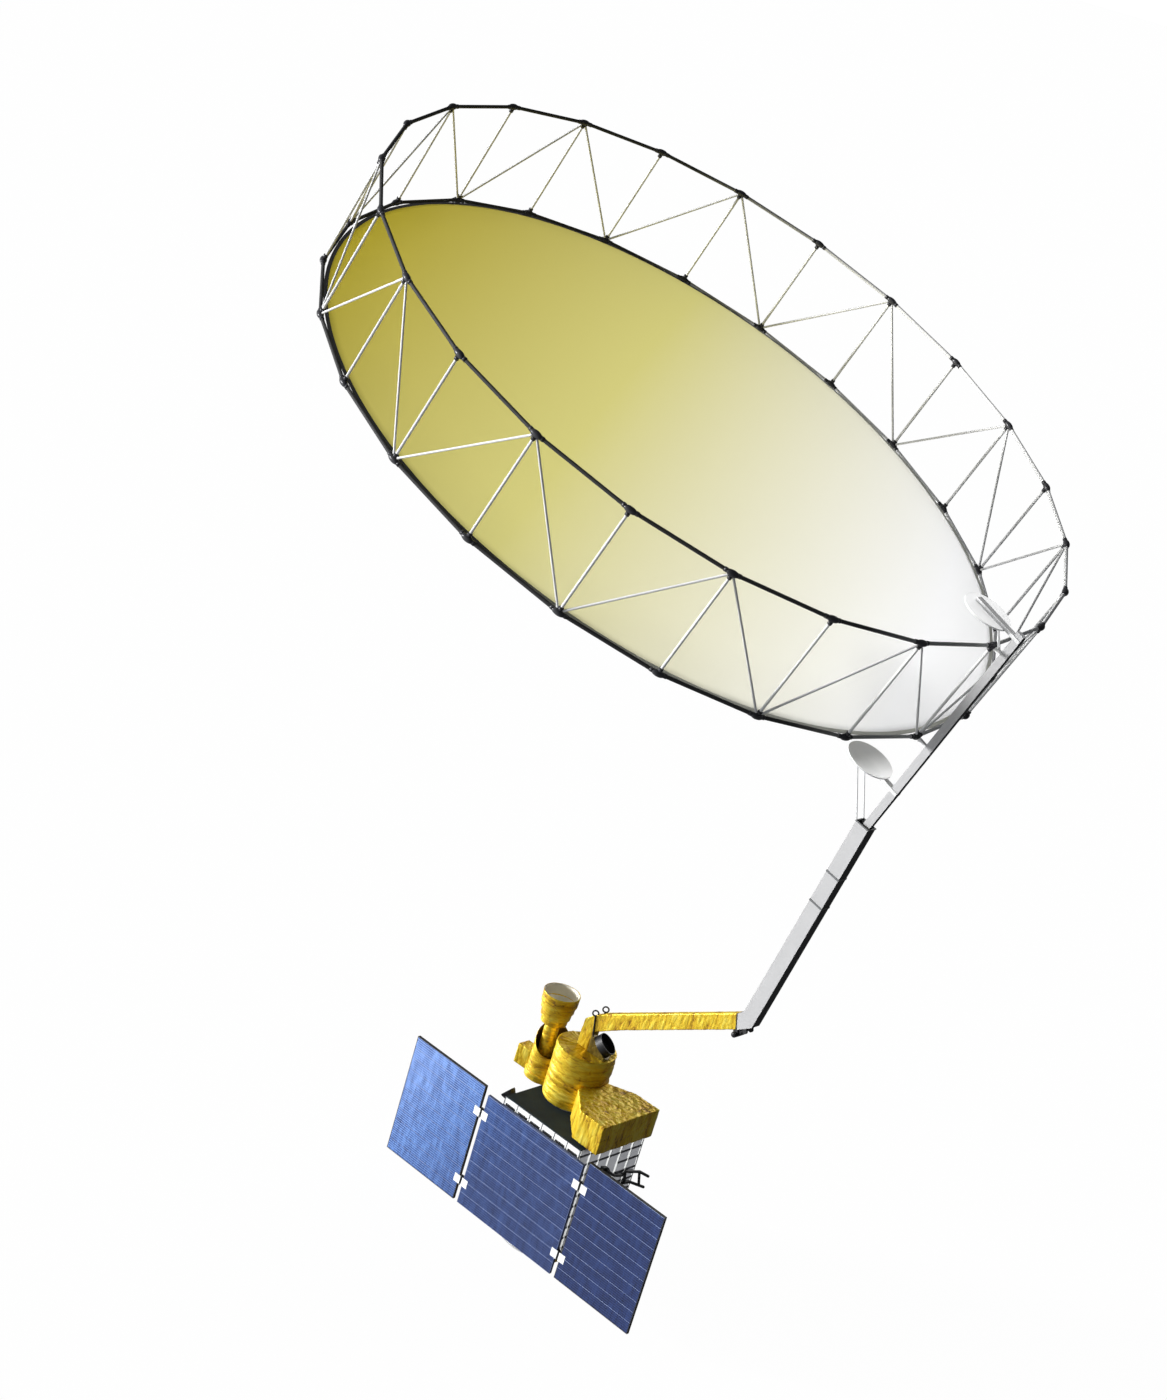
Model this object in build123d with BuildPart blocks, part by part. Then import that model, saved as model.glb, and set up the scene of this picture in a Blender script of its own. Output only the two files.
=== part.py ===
# A 6 m spinning mesh-reflector satellite on a despun bus with a three-panel solar array.
# Units are millimetres. The origin is the centre of the launch ring's lower face, on the floor.
# +Z is up along the spin axis, -Y faces the way the solar array looks, +X runs along the array.
import os
from math import cos, radians, sin, sqrt

from build123d import *

os.makedirs("parts", exist_ok=True)

# A cutter's length over the thickness that it goes through
CUT_THROUGH = 1.2

# Driving dimensions of the despun bus
BUS_X = 842.0
BUS_Y = 818.0
DECK_Z = 1200.0
DECK_T = 12.0
RING_H = 80.0
RING_FLANGE_T = 10.0
RING_BOLTS = 12
RING_BOLT_R = 5.25
RING_PCD = 656.0
RING_LIP = 17.0
RING_BOLT_TO_WEB = 16.0
RING_WEB_T = 12.0
RING_OUTER_R = RING_PCD / 2 + RING_LIP
RING_WEB_R = RING_PCD / 2 - RING_BOLT_TO_WEB
RING_INNER_R = RING_WEB_R - RING_WEB_T
SKIRT_H = 80.0
SKIRT_INSET = 8.0
SHELL_Z = RING_H + SKIRT_H

# Tiles of the radiator faces
TILE_ROWS = 10
TILE_COLUMNS = 6
TILE_PITCH_Z = 100.0
TILE_T = 6.0
TILE_TOP_DROP = 4.0
TILE_TOP_Z = DECK_Z - TILE_TOP_DROP

# Solar array
ARRAY_FRONT_Y = -458.0
PANEL_T = 25.0
PANEL_BACK_Y = ARRAY_FRONT_Y + PANEL_T
PANEL_Z0 = 104.0
CENTRE_TOP_Z = 1133.0
WING_TOP_Z = 1190.0
CENTRE_X0 = -563.0
CENTRE_X1 = 517.0
LEFT_X0 = -1426.0
LEFT_X1 = -610.0
RIGHT_X0 = 567.0
RIGHT_X1 = 1374.0
LEAF_W = 72.0
LEAF_H = 75.0
LEAF_T = 3.0
LEAF_SPLIT = 6.0
LEAF_LEVELS = (295.0, 945.0)
KNUCKLE_R = 8.0
KNUCKLE_CLEARANCE = 2.0
FIXED_KNUCKLE_HALF = 12.0
KNUCKLE_END_GAP = 0.5
HINGE_PIN_R = 3.5
HINGE_PIN_PLAY = 0.1

# Spun instrument, measured from the spin axis where it meets the deck
SPIN_X = -157.0
SPIN_Y = 92.0
SPIN_GAP = 20.0
BEARING_R = 210.0
RUNNING_GAP = 0.3
DRUM_R = 250.0
DRUM_TOP = 500.0
BOX_TOP = 275.0
SIDE_DRUM_X = -347.0
SIDE_DRUM_R = 140.0
FEED_X = -390.0
FEED_TUBE_R = 62.0
HORN_BASE = 490.0
HORN_FLOOR = 510.0
HORN_TOP = 790.0

# Boom
ARM_W = 90.0
BOOM_W = 100.0
BOOM_D = 124.0
BOOM_LEAN = 11.85
BOOM_LENGTH = 1904.6
POLE_W = 40.0
POLE_D = 64.0
POLE_LEAN = 19.9
POLE_LENGTH = 1925.0
POLE_OUTBOARD = 20.0
POLE_START = 19.0
ELBOW_X = 1300.0
ELBOW_Z = 1380.0
ELBOW_PIN_R = 9.0
PLATE_R = 190.0

# Deployable hoop and its mesh
HOOP_R = 3000.0
HOOP_DEPTH = 928.0
HOOP_TILT = 21.18
HOOP_STANDOFF = 140.0
HOOP_ALONG = 780.0
BAYS = 24
FITTING_R = 32.0
FITTING_H = 40.0
FITTING_SIDES = 8
CHORD_R = 14.0
BATTEN_R = 11.0
DIAGONAL_R = 9.0
MESH_INSET = 70.0
BAND_W = 29.5
MESH_R = HOOP_R - MESH_INSET
BAND_R = MESH_R + BAND_W
MESH_RISE = 512.0
MESH_T = 3.0
BAND_T = 8.0


def at(x, y, z):
    """A point measured from the spin axis where it meets the deck."""
    return Vector(SPIN_X + x, SPIN_Y + y, DECK_Z + z)


def side_plane(y=0.0):
    """The upright plane through the arm and boom, seen from the array's side."""
    return Plane(origin=at(0, y, 0), x_dir=(1, 0, 0), z_dir=(0, -1, 0))


def rod_plane(start, end, trim):
    """A plane across the line from start to end, trim beyond start."""
    run = (Vector(end) - Vector(start)).normalized()
    return Plane(origin=Vector(start) + run * trim, z_dir=run)


def block(x0, x1, y0, y1, z0, z1):
    """A box between two corners."""
    with Locations(((x0 + x1) / 2, (y0 + y1) / 2, (z0 + z1) / 2)):
        Box(x1 - x0, y1 - y0, z1 - z0)


def save(piece, label):
    """Names one finished piece and writes it."""
    piece.part.label = label
    export_step(piece.part, f"parts/{label}.step")


# Launch ring with a bolted lower flange
with BuildPart() as launch_adapter:
    with BuildSketch(Plane.XZ):
        with BuildLine():
            Polyline(
                (RING_INNER_R, 0),
                (RING_OUTER_R, 0),
                (RING_OUTER_R, RING_FLANGE_T),
                (RING_WEB_R, RING_FLANGE_T),
                (RING_WEB_R, RING_H - RING_FLANGE_T),
                (RING_OUTER_R, RING_H - RING_FLANGE_T),
                (RING_OUTER_R, RING_H),
                (RING_INNER_R, RING_H),
                close=True,
            )
        make_face()
    revolve(axis=Axis.Z)
    with Locations((0, 0, RING_FLANGE_T / 2)):
        with PolarLocations(RING_PCD / 2, RING_BOLTS):
            Cylinder(RING_BOLT_R, RING_FLANGE_T * CUT_THROUGH, mode=Mode.SUBTRACT)
save(launch_adapter, "launch_adapter")

with BuildPart() as bottom_skirt:
    block(
        SKIRT_INSET - BUS_X / 2, BUS_X / 2 - SKIRT_INSET,
        SKIRT_INSET - BUS_Y / 2, BUS_Y / 2 - SKIRT_INSET,
        RING_H, SHELL_Z,
    )
save(bottom_skirt, "bottom_skirt")

with BuildPart() as bus_shell:
    block(-BUS_X / 2, BUS_X / 2, -BUS_Y / 2, BUS_Y / 2, SHELL_Z, DECK_Z - DECK_T)
save(bus_shell, "bus_shell")

with BuildPart() as top_deck:
    block(-BUS_X / 2, BUS_X / 2, -BUS_Y / 2, BUS_Y / 2, DECK_Z - DECK_T, DECK_Z)
save(top_deck, "top_deck")

# Radiator tiles
# name, outward direction, face distance, face width, tile width, tile height, (column, row) left bare
TILE_FACES = (
    ("front_tiles", (0, -1, 0), BUS_Y / 2, BUS_X, 130.0, 90.0, ((0, 2), (5, 2), (0, 8), (5, 8))),
    ("back_tiles", (0, 1, 0), BUS_Y / 2, BUS_X, 130.0, 90.0, ()),
    ("right_tiles", (1, 0, 0), BUS_X / 2, BUS_Y, 100.0, 84.0, ((2, 2), (3, 2), (2, 3), (3, 3))),
    ("left_tiles", (-1, 0, 0), BUS_X / 2, BUS_Y, 100.0, 84.0, ((4, 0), (5, 0), (4, 1), (5, 1))),
)
for name, outward, distance, width, tile_w, tile_h, bare in TILE_FACES:
    face = Plane(
        origin=Vector(*outward) * distance + Vector(0, 0, TILE_TOP_Z),
        x_dir=Vector(0, 0, 1).cross(Vector(*outward)),
        z_dir=outward,
    )
    pitch_x = width / TILE_COLUMNS
    spots = [
        ((column - (TILE_COLUMNS - 1) / 2) * pitch_x, -(row + 0.5) * TILE_PITCH_Z)
        for column in range(TILE_COLUMNS)
        for row in range(TILE_ROWS)
        if (column, row) not in bare
    ]
    with BuildPart() as tiles:
        with BuildSketch(face):
            with Locations(*spots):
                Rectangle(tile_w, tile_h)
        extrude(amount=TILE_T)
    save(tiles, name)

with BuildPart() as spin_bearing:
    with BuildSketch(Plane.XY.offset(DECK_Z)):
        with Locations((SPIN_X, SPIN_Y)):
            Circle(BEARING_R)
    extrude(amount=SPIN_GAP - RUNNING_GAP)
save(spin_bearing, "spin_bearing")

# Solar array: a fixed centre panel on four standoffs and two wings that fold back
with BuildPart() as array_centre_panel:
    block(CENTRE_X0, CENTRE_X1, ARRAY_FRONT_Y, PANEL_BACK_Y, PANEL_Z0, CENTRE_TOP_Z)
save(array_centre_panel, "array_centre_panel")

STANDOFF_X = BUS_X / TILE_COLUMNS * (TILE_COLUMNS - 1) / 2
STANDOFF_HALF = 30.0
# Tile rows whose bare corners the standoffs stand on, counted down from the top
STANDOFF_ROWS = (2, 8)
with BuildPart() as array_standoffs:
    for row in STANDOFF_ROWS:
        level = TILE_TOP_Z - (row + 0.5) * TILE_PITCH_Z
        for side in (-STANDOFF_X, STANDOFF_X):
            block(
                side - STANDOFF_HALF, side + STANDOFF_HALF, PANEL_BACK_Y, -BUS_Y / 2,
                level - STANDOFF_HALF, level + STANDOFF_HALF,
            )
save(array_standoffs, "array_standoffs")

with BuildPart() as array_left_panel:
    block(LEFT_X0, LEFT_X1, ARRAY_FRONT_Y, PANEL_BACK_Y, PANEL_Z0, WING_TOP_Z)
save(array_left_panel, "array_left_panel")

with BuildPart() as array_right_panel:
    block(RIGHT_X0, RIGHT_X1, ARRAY_FRONT_Y, PANEL_BACK_Y, PANEL_Z0, WING_TOP_Z)
save(array_right_panel, "array_right_panel")

LEFT_HINGE_X = (LEFT_X1 + CENTRE_X0) / 2
RIGHT_HINGE_X = (CENTRE_X1 + RIGHT_X0) / 2


def hinge_leaf(hinge_x, edge_x, level, knuckles):
    """One leaf: a front plate, a bar through the gap at each knuckle, and the knuckles themselves."""
    toward = 1 if edge_x > hinge_x else -1
    plate = sorted((hinge_x + toward * LEAF_SPLIT / 2, hinge_x + toward * (LEAF_SPLIT / 2 + LEAF_W)))
    block(
        plate[0], plate[1], ARRAY_FRONT_Y - LEAF_T, ARRAY_FRONT_Y,
        level - LEAF_H / 2, level + LEAF_H / 2,
    )
    gap = sorted((hinge_x + toward * (KNUCKLE_R + KNUCKLE_CLEARANCE), edge_x))
    block(
        gap[0], gap[1], ARRAY_FRONT_Y, PANEL_BACK_Y + KNUCKLE_R,
        level - LEAF_H / 2, level + LEAF_H / 2,
    )
    bar = sorted((hinge_x, edge_x))
    for low, high in knuckles:
        block(
            bar[0], bar[1], PANEL_BACK_Y - KNUCKLE_R, PANEL_BACK_Y + KNUCKLE_R,
            level + low, level + high,
        )
        with Locations((hinge_x, PANEL_BACK_Y, level + (low + high) / 2)):
            Cylinder(KNUCKLE_R, high - low)
    with Locations((hinge_x, PANEL_BACK_Y, level)):
        Cylinder(HINGE_PIN_R, LEAF_H * CUT_THROUGH, mode=Mode.SUBTRACT)


MOVING_KNUCKLE_FROM = FIXED_KNUCKLE_HALF + KNUCKLE_END_GAP
FIXED_KNUCKLES = ((-FIXED_KNUCKLE_HALF, FIXED_KNUCKLE_HALF),)
MOVING_KNUCKLES = ((-LEAF_H / 2, -MOVING_KNUCKLE_FROM), (MOVING_KNUCKLE_FROM, LEAF_H / 2))
# label, hinge line, panel edge, knuckles
LEAVES = (
    ("left_wing_leaves", LEFT_HINGE_X, LEFT_X1, MOVING_KNUCKLES),
    ("right_wing_leaves", RIGHT_HINGE_X, RIGHT_X0, MOVING_KNUCKLES),
    ("left_fixed_leaves", LEFT_HINGE_X, CENTRE_X0, FIXED_KNUCKLES),
    ("right_fixed_leaves", RIGHT_HINGE_X, CENTRE_X1, FIXED_KNUCKLES),
)
for label, hinge_x, edge_x, knuckles in LEAVES:
    with BuildPart() as leaves:
        for level in LEAF_LEVELS:
            hinge_leaf(hinge_x, edge_x, level, knuckles)
    save(leaves, label)

with BuildPart() as array_hinge_pins:
    for hinge_x in (LEFT_HINGE_X, RIGHT_HINGE_X):
        for level in LEAF_LEVELS:
            with Locations((hinge_x, PANEL_BACK_Y, level)):
                Cylinder(HINGE_PIN_R - HINGE_PIN_PLAY, LEAF_H)
save(array_hinge_pins, "array_hinge_pins")

# Flared sensor on the left face, below the deck's front corner, with its mouth turned up
SENSOR_OUT = 95.0
SENSOR_Y = -285.0
SENSOR_DROP = 40.0
SENSOR_AIM = (-0.78, -0.1, 0.62)
SENSOR_NECK_R = 34.0
SENSOR_MOUTH_R = 62.0
SENSOR_LIP = 12.0
SENSOR_FLARE = 83.0
SENSOR_CUP = 70.0
SENSOR_WALL = 4.0
SENSOR_REACH = 190.0
sensor_mouth = Plane(
    origin=(-BUS_X / 2 - SENSOR_OUT, SENSOR_Y, DECK_Z - SENSOR_DROP),
    x_dir=(0, 1, 0),
    z_dir=SENSOR_AIM,
)
sensor_side = Plane(
    origin=sensor_mouth.origin, x_dir=sensor_mouth.x_dir, z_dir=-sensor_mouth.y_dir
)
with BuildPart() as flared_sensor:
    with BuildSketch(sensor_side):
        with BuildLine():
            Polyline(
                (0, -SENSOR_CUP),
                (SENSOR_NECK_R - SENSOR_WALL, -SENSOR_CUP),
                (SENSOR_MOUTH_R - SENSOR_WALL, 0),
                (SENSOR_MOUTH_R, 0),
                (SENSOR_MOUTH_R, -SENSOR_LIP),
                (SENSOR_NECK_R, -SENSOR_FLARE),
                (SENSOR_NECK_R, -SENSOR_REACH),
                (0, -SENSOR_REACH),
                close=True,
            )
        make_face()
    revolve(axis=Axis(sensor_mouth.origin, sensor_mouth.z_dir))
    split(bisect_by=Plane(origin=(-BUS_X / 2, 0, 0), z_dir=(-1, 0, 0)), keep=Keep.TOP)
save(flared_sensor, "flared_sensor")

# Ladder-shaped antenna on the right face: two bent rails on a block, joined by rungs
LADDER_OUT = 44.0
LADDER_X = BUS_X / 2 + LADDER_OUT
RAIL_R = 7.0
RAIL_BEND_R = 16.0
RUNG_R = 6.0
# y and z of each rail's corners
UPPER_RAIL = ((-46, 943), (86, 855), (194, 825), (245, 848), (439, 794), (588, 707))
LOWER_RAIL = ((180, 732), (244, 738), (334, 726), (568, 608))
# y and z at the rung's top, y and z at its foot
RUNGS = ((236, 844, 262, 735), (436, 795, 490, 648))
with BuildPart() as ladder_antenna:
    for rail in (UPPER_RAIL, LOWER_RAIL):
        with BuildLine() as route:
            FilletPolyline(*[(LADDER_X, y, z) for y, z in rail], radius=RAIL_BEND_R)
        with BuildSketch(Plane(origin=route.line @ 0, z_dir=route.line % 0)) as rail_end:
            Circle(RAIL_R)
        sweep(rail_end.sketch, path=route.line)
    for top_y, top_z, foot_y, foot_z in RUNGS:
        top = Vector(LADDER_X, top_y, top_z)
        foot = Vector(LADDER_X, foot_y, foot_z)
        with Locations(rod_plane(top, foot, 0)):
            Cylinder(RUNG_R, (foot - top).length, align=(Align.CENTER, Align.CENTER, Align.MIN))
save(ladder_antenna, "ladder_antenna")

# y and z of the block's corners
LADDER_BLOCK = ((-72, 965), (0, 945), (42, 890), (24, 850), (-34, 868), (-80, 930))
with BuildPart() as ladder_bracket:
    with BuildSketch(Plane.YZ.offset(BUS_X / 2)):
        with BuildLine():
            Polyline(*LADDER_BLOCK, close=True)
        make_face()
    extrude(amount=LADDER_OUT - RAIL_R)
save(ladder_bracket, "ladder_bracket")

# Spun instrument units
with BuildPart() as instrument_drum:
    with Locations(at(0, 0, SPIN_GAP)):
        Cylinder(DRUM_R, DRUM_TOP - SPIN_GAP, align=(Align.CENTER, Align.CENTER, Align.MIN))
save(instrument_drum, "instrument_drum")

# Corners of the electronics box in plan, from the spin axis
BOX_CORNERS = ((200, -234), (438, -468), (706, -471), (707, 216), (449, 208), (200, 67))
with BuildPart() as electronics_box:
    with BuildSketch(Plane(at(0, 0, SPIN_GAP))):
        with BuildLine():
            Polyline(*BOX_CORNERS, close=True)
        make_face()
        Circle(DRUM_R, mode=Mode.SUBTRACT)
    extrude(amount=BOX_TOP - SPIN_GAP)
save(electronics_box, "electronics_box")

SIDE_DRUM_FLANGE = 12.0
SIDE_DRUM_WALL = 6.0
SIDE_DRUM_FLOOR = 12.0
SIDE_DRUM_SKIRT = 60.0
SIDE_DRUM_MID = 365.0
SIDE_DRUM_CUT = (0.5, -0.62, 1)
with BuildPart() as side_drum:
    with BuildSketch(Plane(at(SIDE_DRUM_X, 0, SPIN_GAP))):
        Circle(SIDE_DRUM_R)
    extrude(amount=HORN_BASE - SPIN_GAP)
    with BuildSketch(Plane(at(SIDE_DRUM_X, 0, SPIN_GAP))):
        Circle(SIDE_DRUM_R + SIDE_DRUM_FLANGE)
    extrude(amount=SIDE_DRUM_SKIRT)
    with BuildSketch(Plane(at(SIDE_DRUM_X, 0, SPIN_GAP + SIDE_DRUM_FLOOR))):
        Circle(SIDE_DRUM_R - SIDE_DRUM_WALL)
    extrude(amount=HORN_BASE, mode=Mode.SUBTRACT)
    with BuildSketch(Plane(at(0, 0, SPIN_GAP))):
        Circle(DRUM_R)
    extrude(amount=HORN_BASE, mode=Mode.SUBTRACT)
    split(
        bisect_by=Plane(
            origin=at(SIDE_DRUM_X, 0, SIDE_DRUM_MID),
            z_dir=SIDE_DRUM_CUT,
        ),
        keep=Keep.BOTTOM,
    )
save(side_drum, "side_drum")

with BuildPart() as feed_tube:
    with Locations(at(FEED_X, 0, SPIN_GAP + SIDE_DRUM_FLOOR)):
        Cylinder(
            FEED_TUBE_R,
            HORN_BASE - SPIN_GAP - SIDE_DRUM_FLOOR,
            align=(Align.CENTER, Align.CENTER, Align.MIN),
        )
save(feed_tube, "feed_tube")

# Horn: outer radius and height of each step, then the inside back down to the throat
HORN_OUTSIDE = (
    (68, HORN_BASE), (111, 515), (113, 545), (130, 600), (133, 630), (150, 690), (155, HORN_TOP),
)
HORN_INSIDE = ((151, HORN_TOP), (146, 690), (45, HORN_FLOOR))
with BuildPart() as feed_horn:
    with BuildSketch(Plane.XZ.offset(-SPIN_Y)):
        with BuildLine():
            Polyline(
                (SPIN_X + FEED_X, DECK_Z + HORN_BASE),
                *[(SPIN_X + FEED_X + r, DECK_Z + z) for r, z in HORN_OUTSIDE],
                *[(SPIN_X + FEED_X + r, DECK_Z + z) for r, z in HORN_INSIDE],
                (SPIN_X + FEED_X, DECK_Z + HORN_FLOOR),
                close=True,
            )
        make_face()
    revolve(axis=Axis((SPIN_X + FEED_X, SPIN_Y, 0), (0, 0, 1)))
save(feed_horn, "feed_horn")

SIDE_BOX_X = -540.0
SIDE_BOX_L = 158.0
SIDE_BOX_W = 128.0
SIDE_BOX_TOP = 193.0
with BuildPart() as side_box:
    with BuildSketch(Plane(at(0, 0, SPIN_GAP))):
        with Locations((SIDE_BOX_X, 0)):
            Rectangle(SIDE_BOX_L, SIDE_BOX_W)
        with Locations((SIDE_DRUM_X, 0)):
            Circle(SIDE_DRUM_R + SIDE_DRUM_FLANGE, mode=Mode.SUBTRACT)
    extrude(amount=SIDE_DRUM_SKIRT)
    with BuildSketch(Plane(at(0, 0, SPIN_GAP + SIDE_DRUM_SKIRT))):
        with Locations((SIDE_BOX_X, 0)):
            Rectangle(SIDE_BOX_L, SIDE_BOX_W)
        with Locations((SIDE_DRUM_X, 0)):
            Circle(SIDE_DRUM_R, mode=Mode.SUBTRACT)
    extrude(amount=SIDE_BOX_TOP - SPIN_GAP - SIDE_DRUM_SKIRT)
save(side_box, "side_box")

# Star camera on the drum's top: a wedge beside the arm's post and a wide black baffle
CAMERA_AIM = (0.571, 0.290, 0.767)
CAMERA_MOUTH = (165.0, 30.0, 620.0)
BAFFLE_R = 95.0
BAFFLE_L = 60.0
BAFFLE_WALL = 5.0
BAFFLE_DEPTH = 50.0
WEDGE_X0 = 46.0
WEDGE_X1 = 225.0
WEDGE_Y0 = -55.0
WEDGE_Y1 = 85.0
WEDGE_TOP = 700.0
camera_mouth = Plane(origin=at(*CAMERA_MOUTH), z_dir=CAMERA_AIM)
with BuildPart() as star_camera_block:
    block(
        SPIN_X + WEDGE_X0, SPIN_X + WEDGE_X1, SPIN_Y + WEDGE_Y0, SPIN_Y + WEDGE_Y1,
        DECK_Z + DRUM_TOP, DECK_Z + WEDGE_TOP,
    )
    split(bisect_by=camera_mouth.offset(-BAFFLE_L), keep=Keep.BOTTOM)
save(star_camera_block, "star_camera_block")

with BuildPart() as star_camera_baffle:
    with BuildSketch(camera_mouth):
        Circle(BAFFLE_R)
    extrude(amount=-BAFFLE_L)
    with BuildSketch(camera_mouth):
        Circle(BAFFLE_R - BAFFLE_WALL)
    extrude(amount=-BAFFLE_DEPTH, mode=Mode.SUBTRACT)
save(star_camera_baffle, "star_camera_baffle")

# Arm: a post on the drum and a long sloping beam, as x and z from the spin axis and the deck
ELBOW_TOP = (1270.0, 1550.0)
ELBOW_BOTTOM = (1307.0, 1425.0)
END_PLATE_T = 12.0
ARM_OUTLINE = ((-77, 500), (40, 500), (44, 673), (291, 832), ELBOW_BOTTOM, ELBOW_TOP,
               (79, 858), (-4, 800), (-74, 735))
mitre = (Vector(*ELBOW_TOP) - Vector(*ELBOW_BOTTOM)).normalized()
mitre_plane = Plane(
    origin=at(ELBOW_BOTTOM[0], 0, ELBOW_BOTTOM[1]),
    x_dir=(mitre.X, 0, mitre.Y),
    z_dir=(mitre.Y, 0, -mitre.X),
)
with BuildPart() as boom_arm:
    with BuildSketch(side_plane()):
        with BuildLine():
            Polyline(*ARM_OUTLINE, close=True)
        make_face()
    extrude(amount=ARM_W / 2, both=True)
    split(bisect_by=mitre_plane.offset(-END_PLATE_T), keep=Keep.BOTTOM)
save(boom_arm, "boom_arm")

# Two wire loops: one on the wedge, in front of the arm, and one on the arm's top
WIRE_R = 4.0
LOOP_R = 24.0
LOOP_FACING = (0.55, -0.8, 0)
# stem's foot, ring's centre
LOOPS = (
    ((58, -51, 640), (18, -51, 836)),
    ((72, -8, 845), (72, -8, 892)),
)
with BuildPart() as loop_antennas:
    for foot, centre in LOOPS:
        stem = rod_plane(at(*foot), at(*centre), 0)
        stem_length = (at(*centre) - at(*foot)).length - LOOP_R
        with Locations(stem):
            Cylinder(WIRE_R, stem_length, align=(Align.CENTER, Align.CENTER, Align.MIN))
        with Locations(Plane(origin=at(*centre), z_dir=LOOP_FACING)):
            Torus(LOOP_R, WIRE_R)
    add(star_camera_block.part, mode=Mode.SUBTRACT)
    add(boom_arm.part, mode=Mode.SUBTRACT)
save(loop_antennas, "loop_antennas")

# End plate of the arm with two lugs that hold the elbow's pin
LUG_R = 24.0
LUG_T = 12.0
LUG_Y = 40.0
PIN_HEAD_R = 17.0
PIN_HEAD_T = 16.0
# Corners of a lug beyond the mitre, from the pin
ARM_LUG_CORNERS = ((22, 10), (-17, -15), (-30, 23.4))
with BuildPart() as arm_end_fitting:
    with BuildSketch(side_plane()):
        with BuildLine():
            Polyline(*ARM_OUTLINE, close=True)
        make_face()
    extrude(amount=BOOM_W / 2, both=True)
    split(bisect_by=mitre_plane.offset(-END_PLATE_T), keep=Keep.TOP)
    for y in (-LUG_Y, LUG_Y - LUG_T):
        with BuildSketch(side_plane(y + LUG_T)):
            with BuildLine():
                Polyline(
                    ELBOW_BOTTOM,
                    *[(ELBOW_X + x, ELBOW_Z + z) for x, z in ARM_LUG_CORNERS],
                    close=True,
                )
            make_face()
            with Locations((ELBOW_X, ELBOW_Z)):
                Circle(LUG_R)
                Circle(ELBOW_PIN_R, mode=Mode.SUBTRACT)
        extrude(amount=LUG_T)
save(arm_end_fitting, "arm_end_fitting")

with BuildPart() as elbow_pin:
    with BuildSketch(side_plane()):
        with Locations((ELBOW_X, ELBOW_Z)):
            Circle(ELBOW_PIN_R)
    extrude(amount=LUG_Y + PIN_HEAD_T, both=True)
    for y in (-LUG_Y - PIN_HEAD_T, LUG_Y):
        with BuildSketch(side_plane(y + PIN_HEAD_T)):
            with Locations((ELBOW_X, ELBOW_Z)):
                Circle(PIN_HEAD_R)
        extrude(amount=PIN_HEAD_T)
save(elbow_pin, "elbow_pin")

# Lower boom: a box beam whose foot meets the arm's mitre, hollow at its upper end
BOOM_FOOT_X = 1371.0
BOOM_FOOT_Z = 1551.5
boom_base = at(BOOM_FOOT_X, 0, BOOM_FOOT_Z)
boom_run = Vector(sin(radians(BOOM_LEAN)), 0, cos(radians(BOOM_LEAN)))
boom_plane = Plane(origin=boom_base, x_dir=boom_run, z_dir=(0, -1, 0))
boom_top = Plane(origin=boom_base + boom_run * BOOM_LENGTH, x_dir=(0, 1, 0), z_dir=boom_run)
STOP_GAP = 0.4
SOCKET_DEPTH = 150.0
BOOM_WALL = 5.0


def boom_point(along, inboard):
    """A point of the lower boom's profile, along it and towards the reflector."""
    return boom_plane.from_local_coords(Vector(along, inboard, 0)) - at(0, 0, 0)


BOOM_HEEL = 31.5
boom_corners = [
    boom_point(-BOOM_HEEL, -BOOM_D / 2),
    boom_point(BOOM_LENGTH, -BOOM_D / 2),
    boom_point(BOOM_LENGTH, BOOM_D / 2),
    boom_point(BOOM_HEEL, BOOM_D / 2),
]
BOOM_OUTLINE = (ELBOW_TOP, ELBOW_BOTTOM, *[(corner.X, corner.Z) for corner in boom_corners])
with BuildPart() as lower_boom:
    with BuildSketch(side_plane()):
        with BuildLine():
            Polyline(*BOOM_OUTLINE, close=True)
        make_face()
    extrude(amount=BOOM_W / 2, both=True)
    split(bisect_by=mitre_plane.offset(STOP_GAP), keep=Keep.TOP)
    with BuildSketch(boom_top):
        Rectangle(BOOM_W - 2 * BOOM_WALL, BOOM_D - 2 * BOOM_WALL)
    extrude(amount=-SOCKET_DEPTH, mode=Mode.SUBTRACT)
save(lower_boom, "lower_boom")

# Lug under the boom's foot, between the arm's two lugs, with a latch roller on each side
BOOM_LUG_W = 55.0
# Corners of the boom's lug, from the pin
BOOM_LUG_CORNERS = ((9, 46.4), (100, 110), (98, 82), (45, 46), (16, -18), (-16, 16))
LATCH_X = 1374.0
LATCH_Z = 1446.0
LATCH_R = 20.0
LATCH_W = 18.0
with BuildPart() as boom_lug:
    with BuildSketch(side_plane()):
        with BuildLine():
            Polyline(*[(ELBOW_X + x, ELBOW_Z + z) for x, z in BOOM_LUG_CORNERS], close=True)
        make_face()
        with BuildLine():
            Polyline(*BOOM_OUTLINE, close=True)
        make_face(mode=Mode.SUBTRACT)
        with Locations((ELBOW_X, ELBOW_Z)):
            Circle(LUG_R)
            Circle(ELBOW_PIN_R + RUNNING_GAP, mode=Mode.SUBTRACT)
    extrude(amount=BOOM_LUG_W / 2, both=True)
    for y in (BOOM_LUG_W / 2 + LATCH_W, -BOOM_LUG_W / 2):
        with BuildSketch(side_plane(y)):
            with Locations((LATCH_X, LATCH_Z)):
                Circle(LATCH_R)
        extrude(amount=LATCH_W)
save(boom_lug, "boom_lug")

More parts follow.
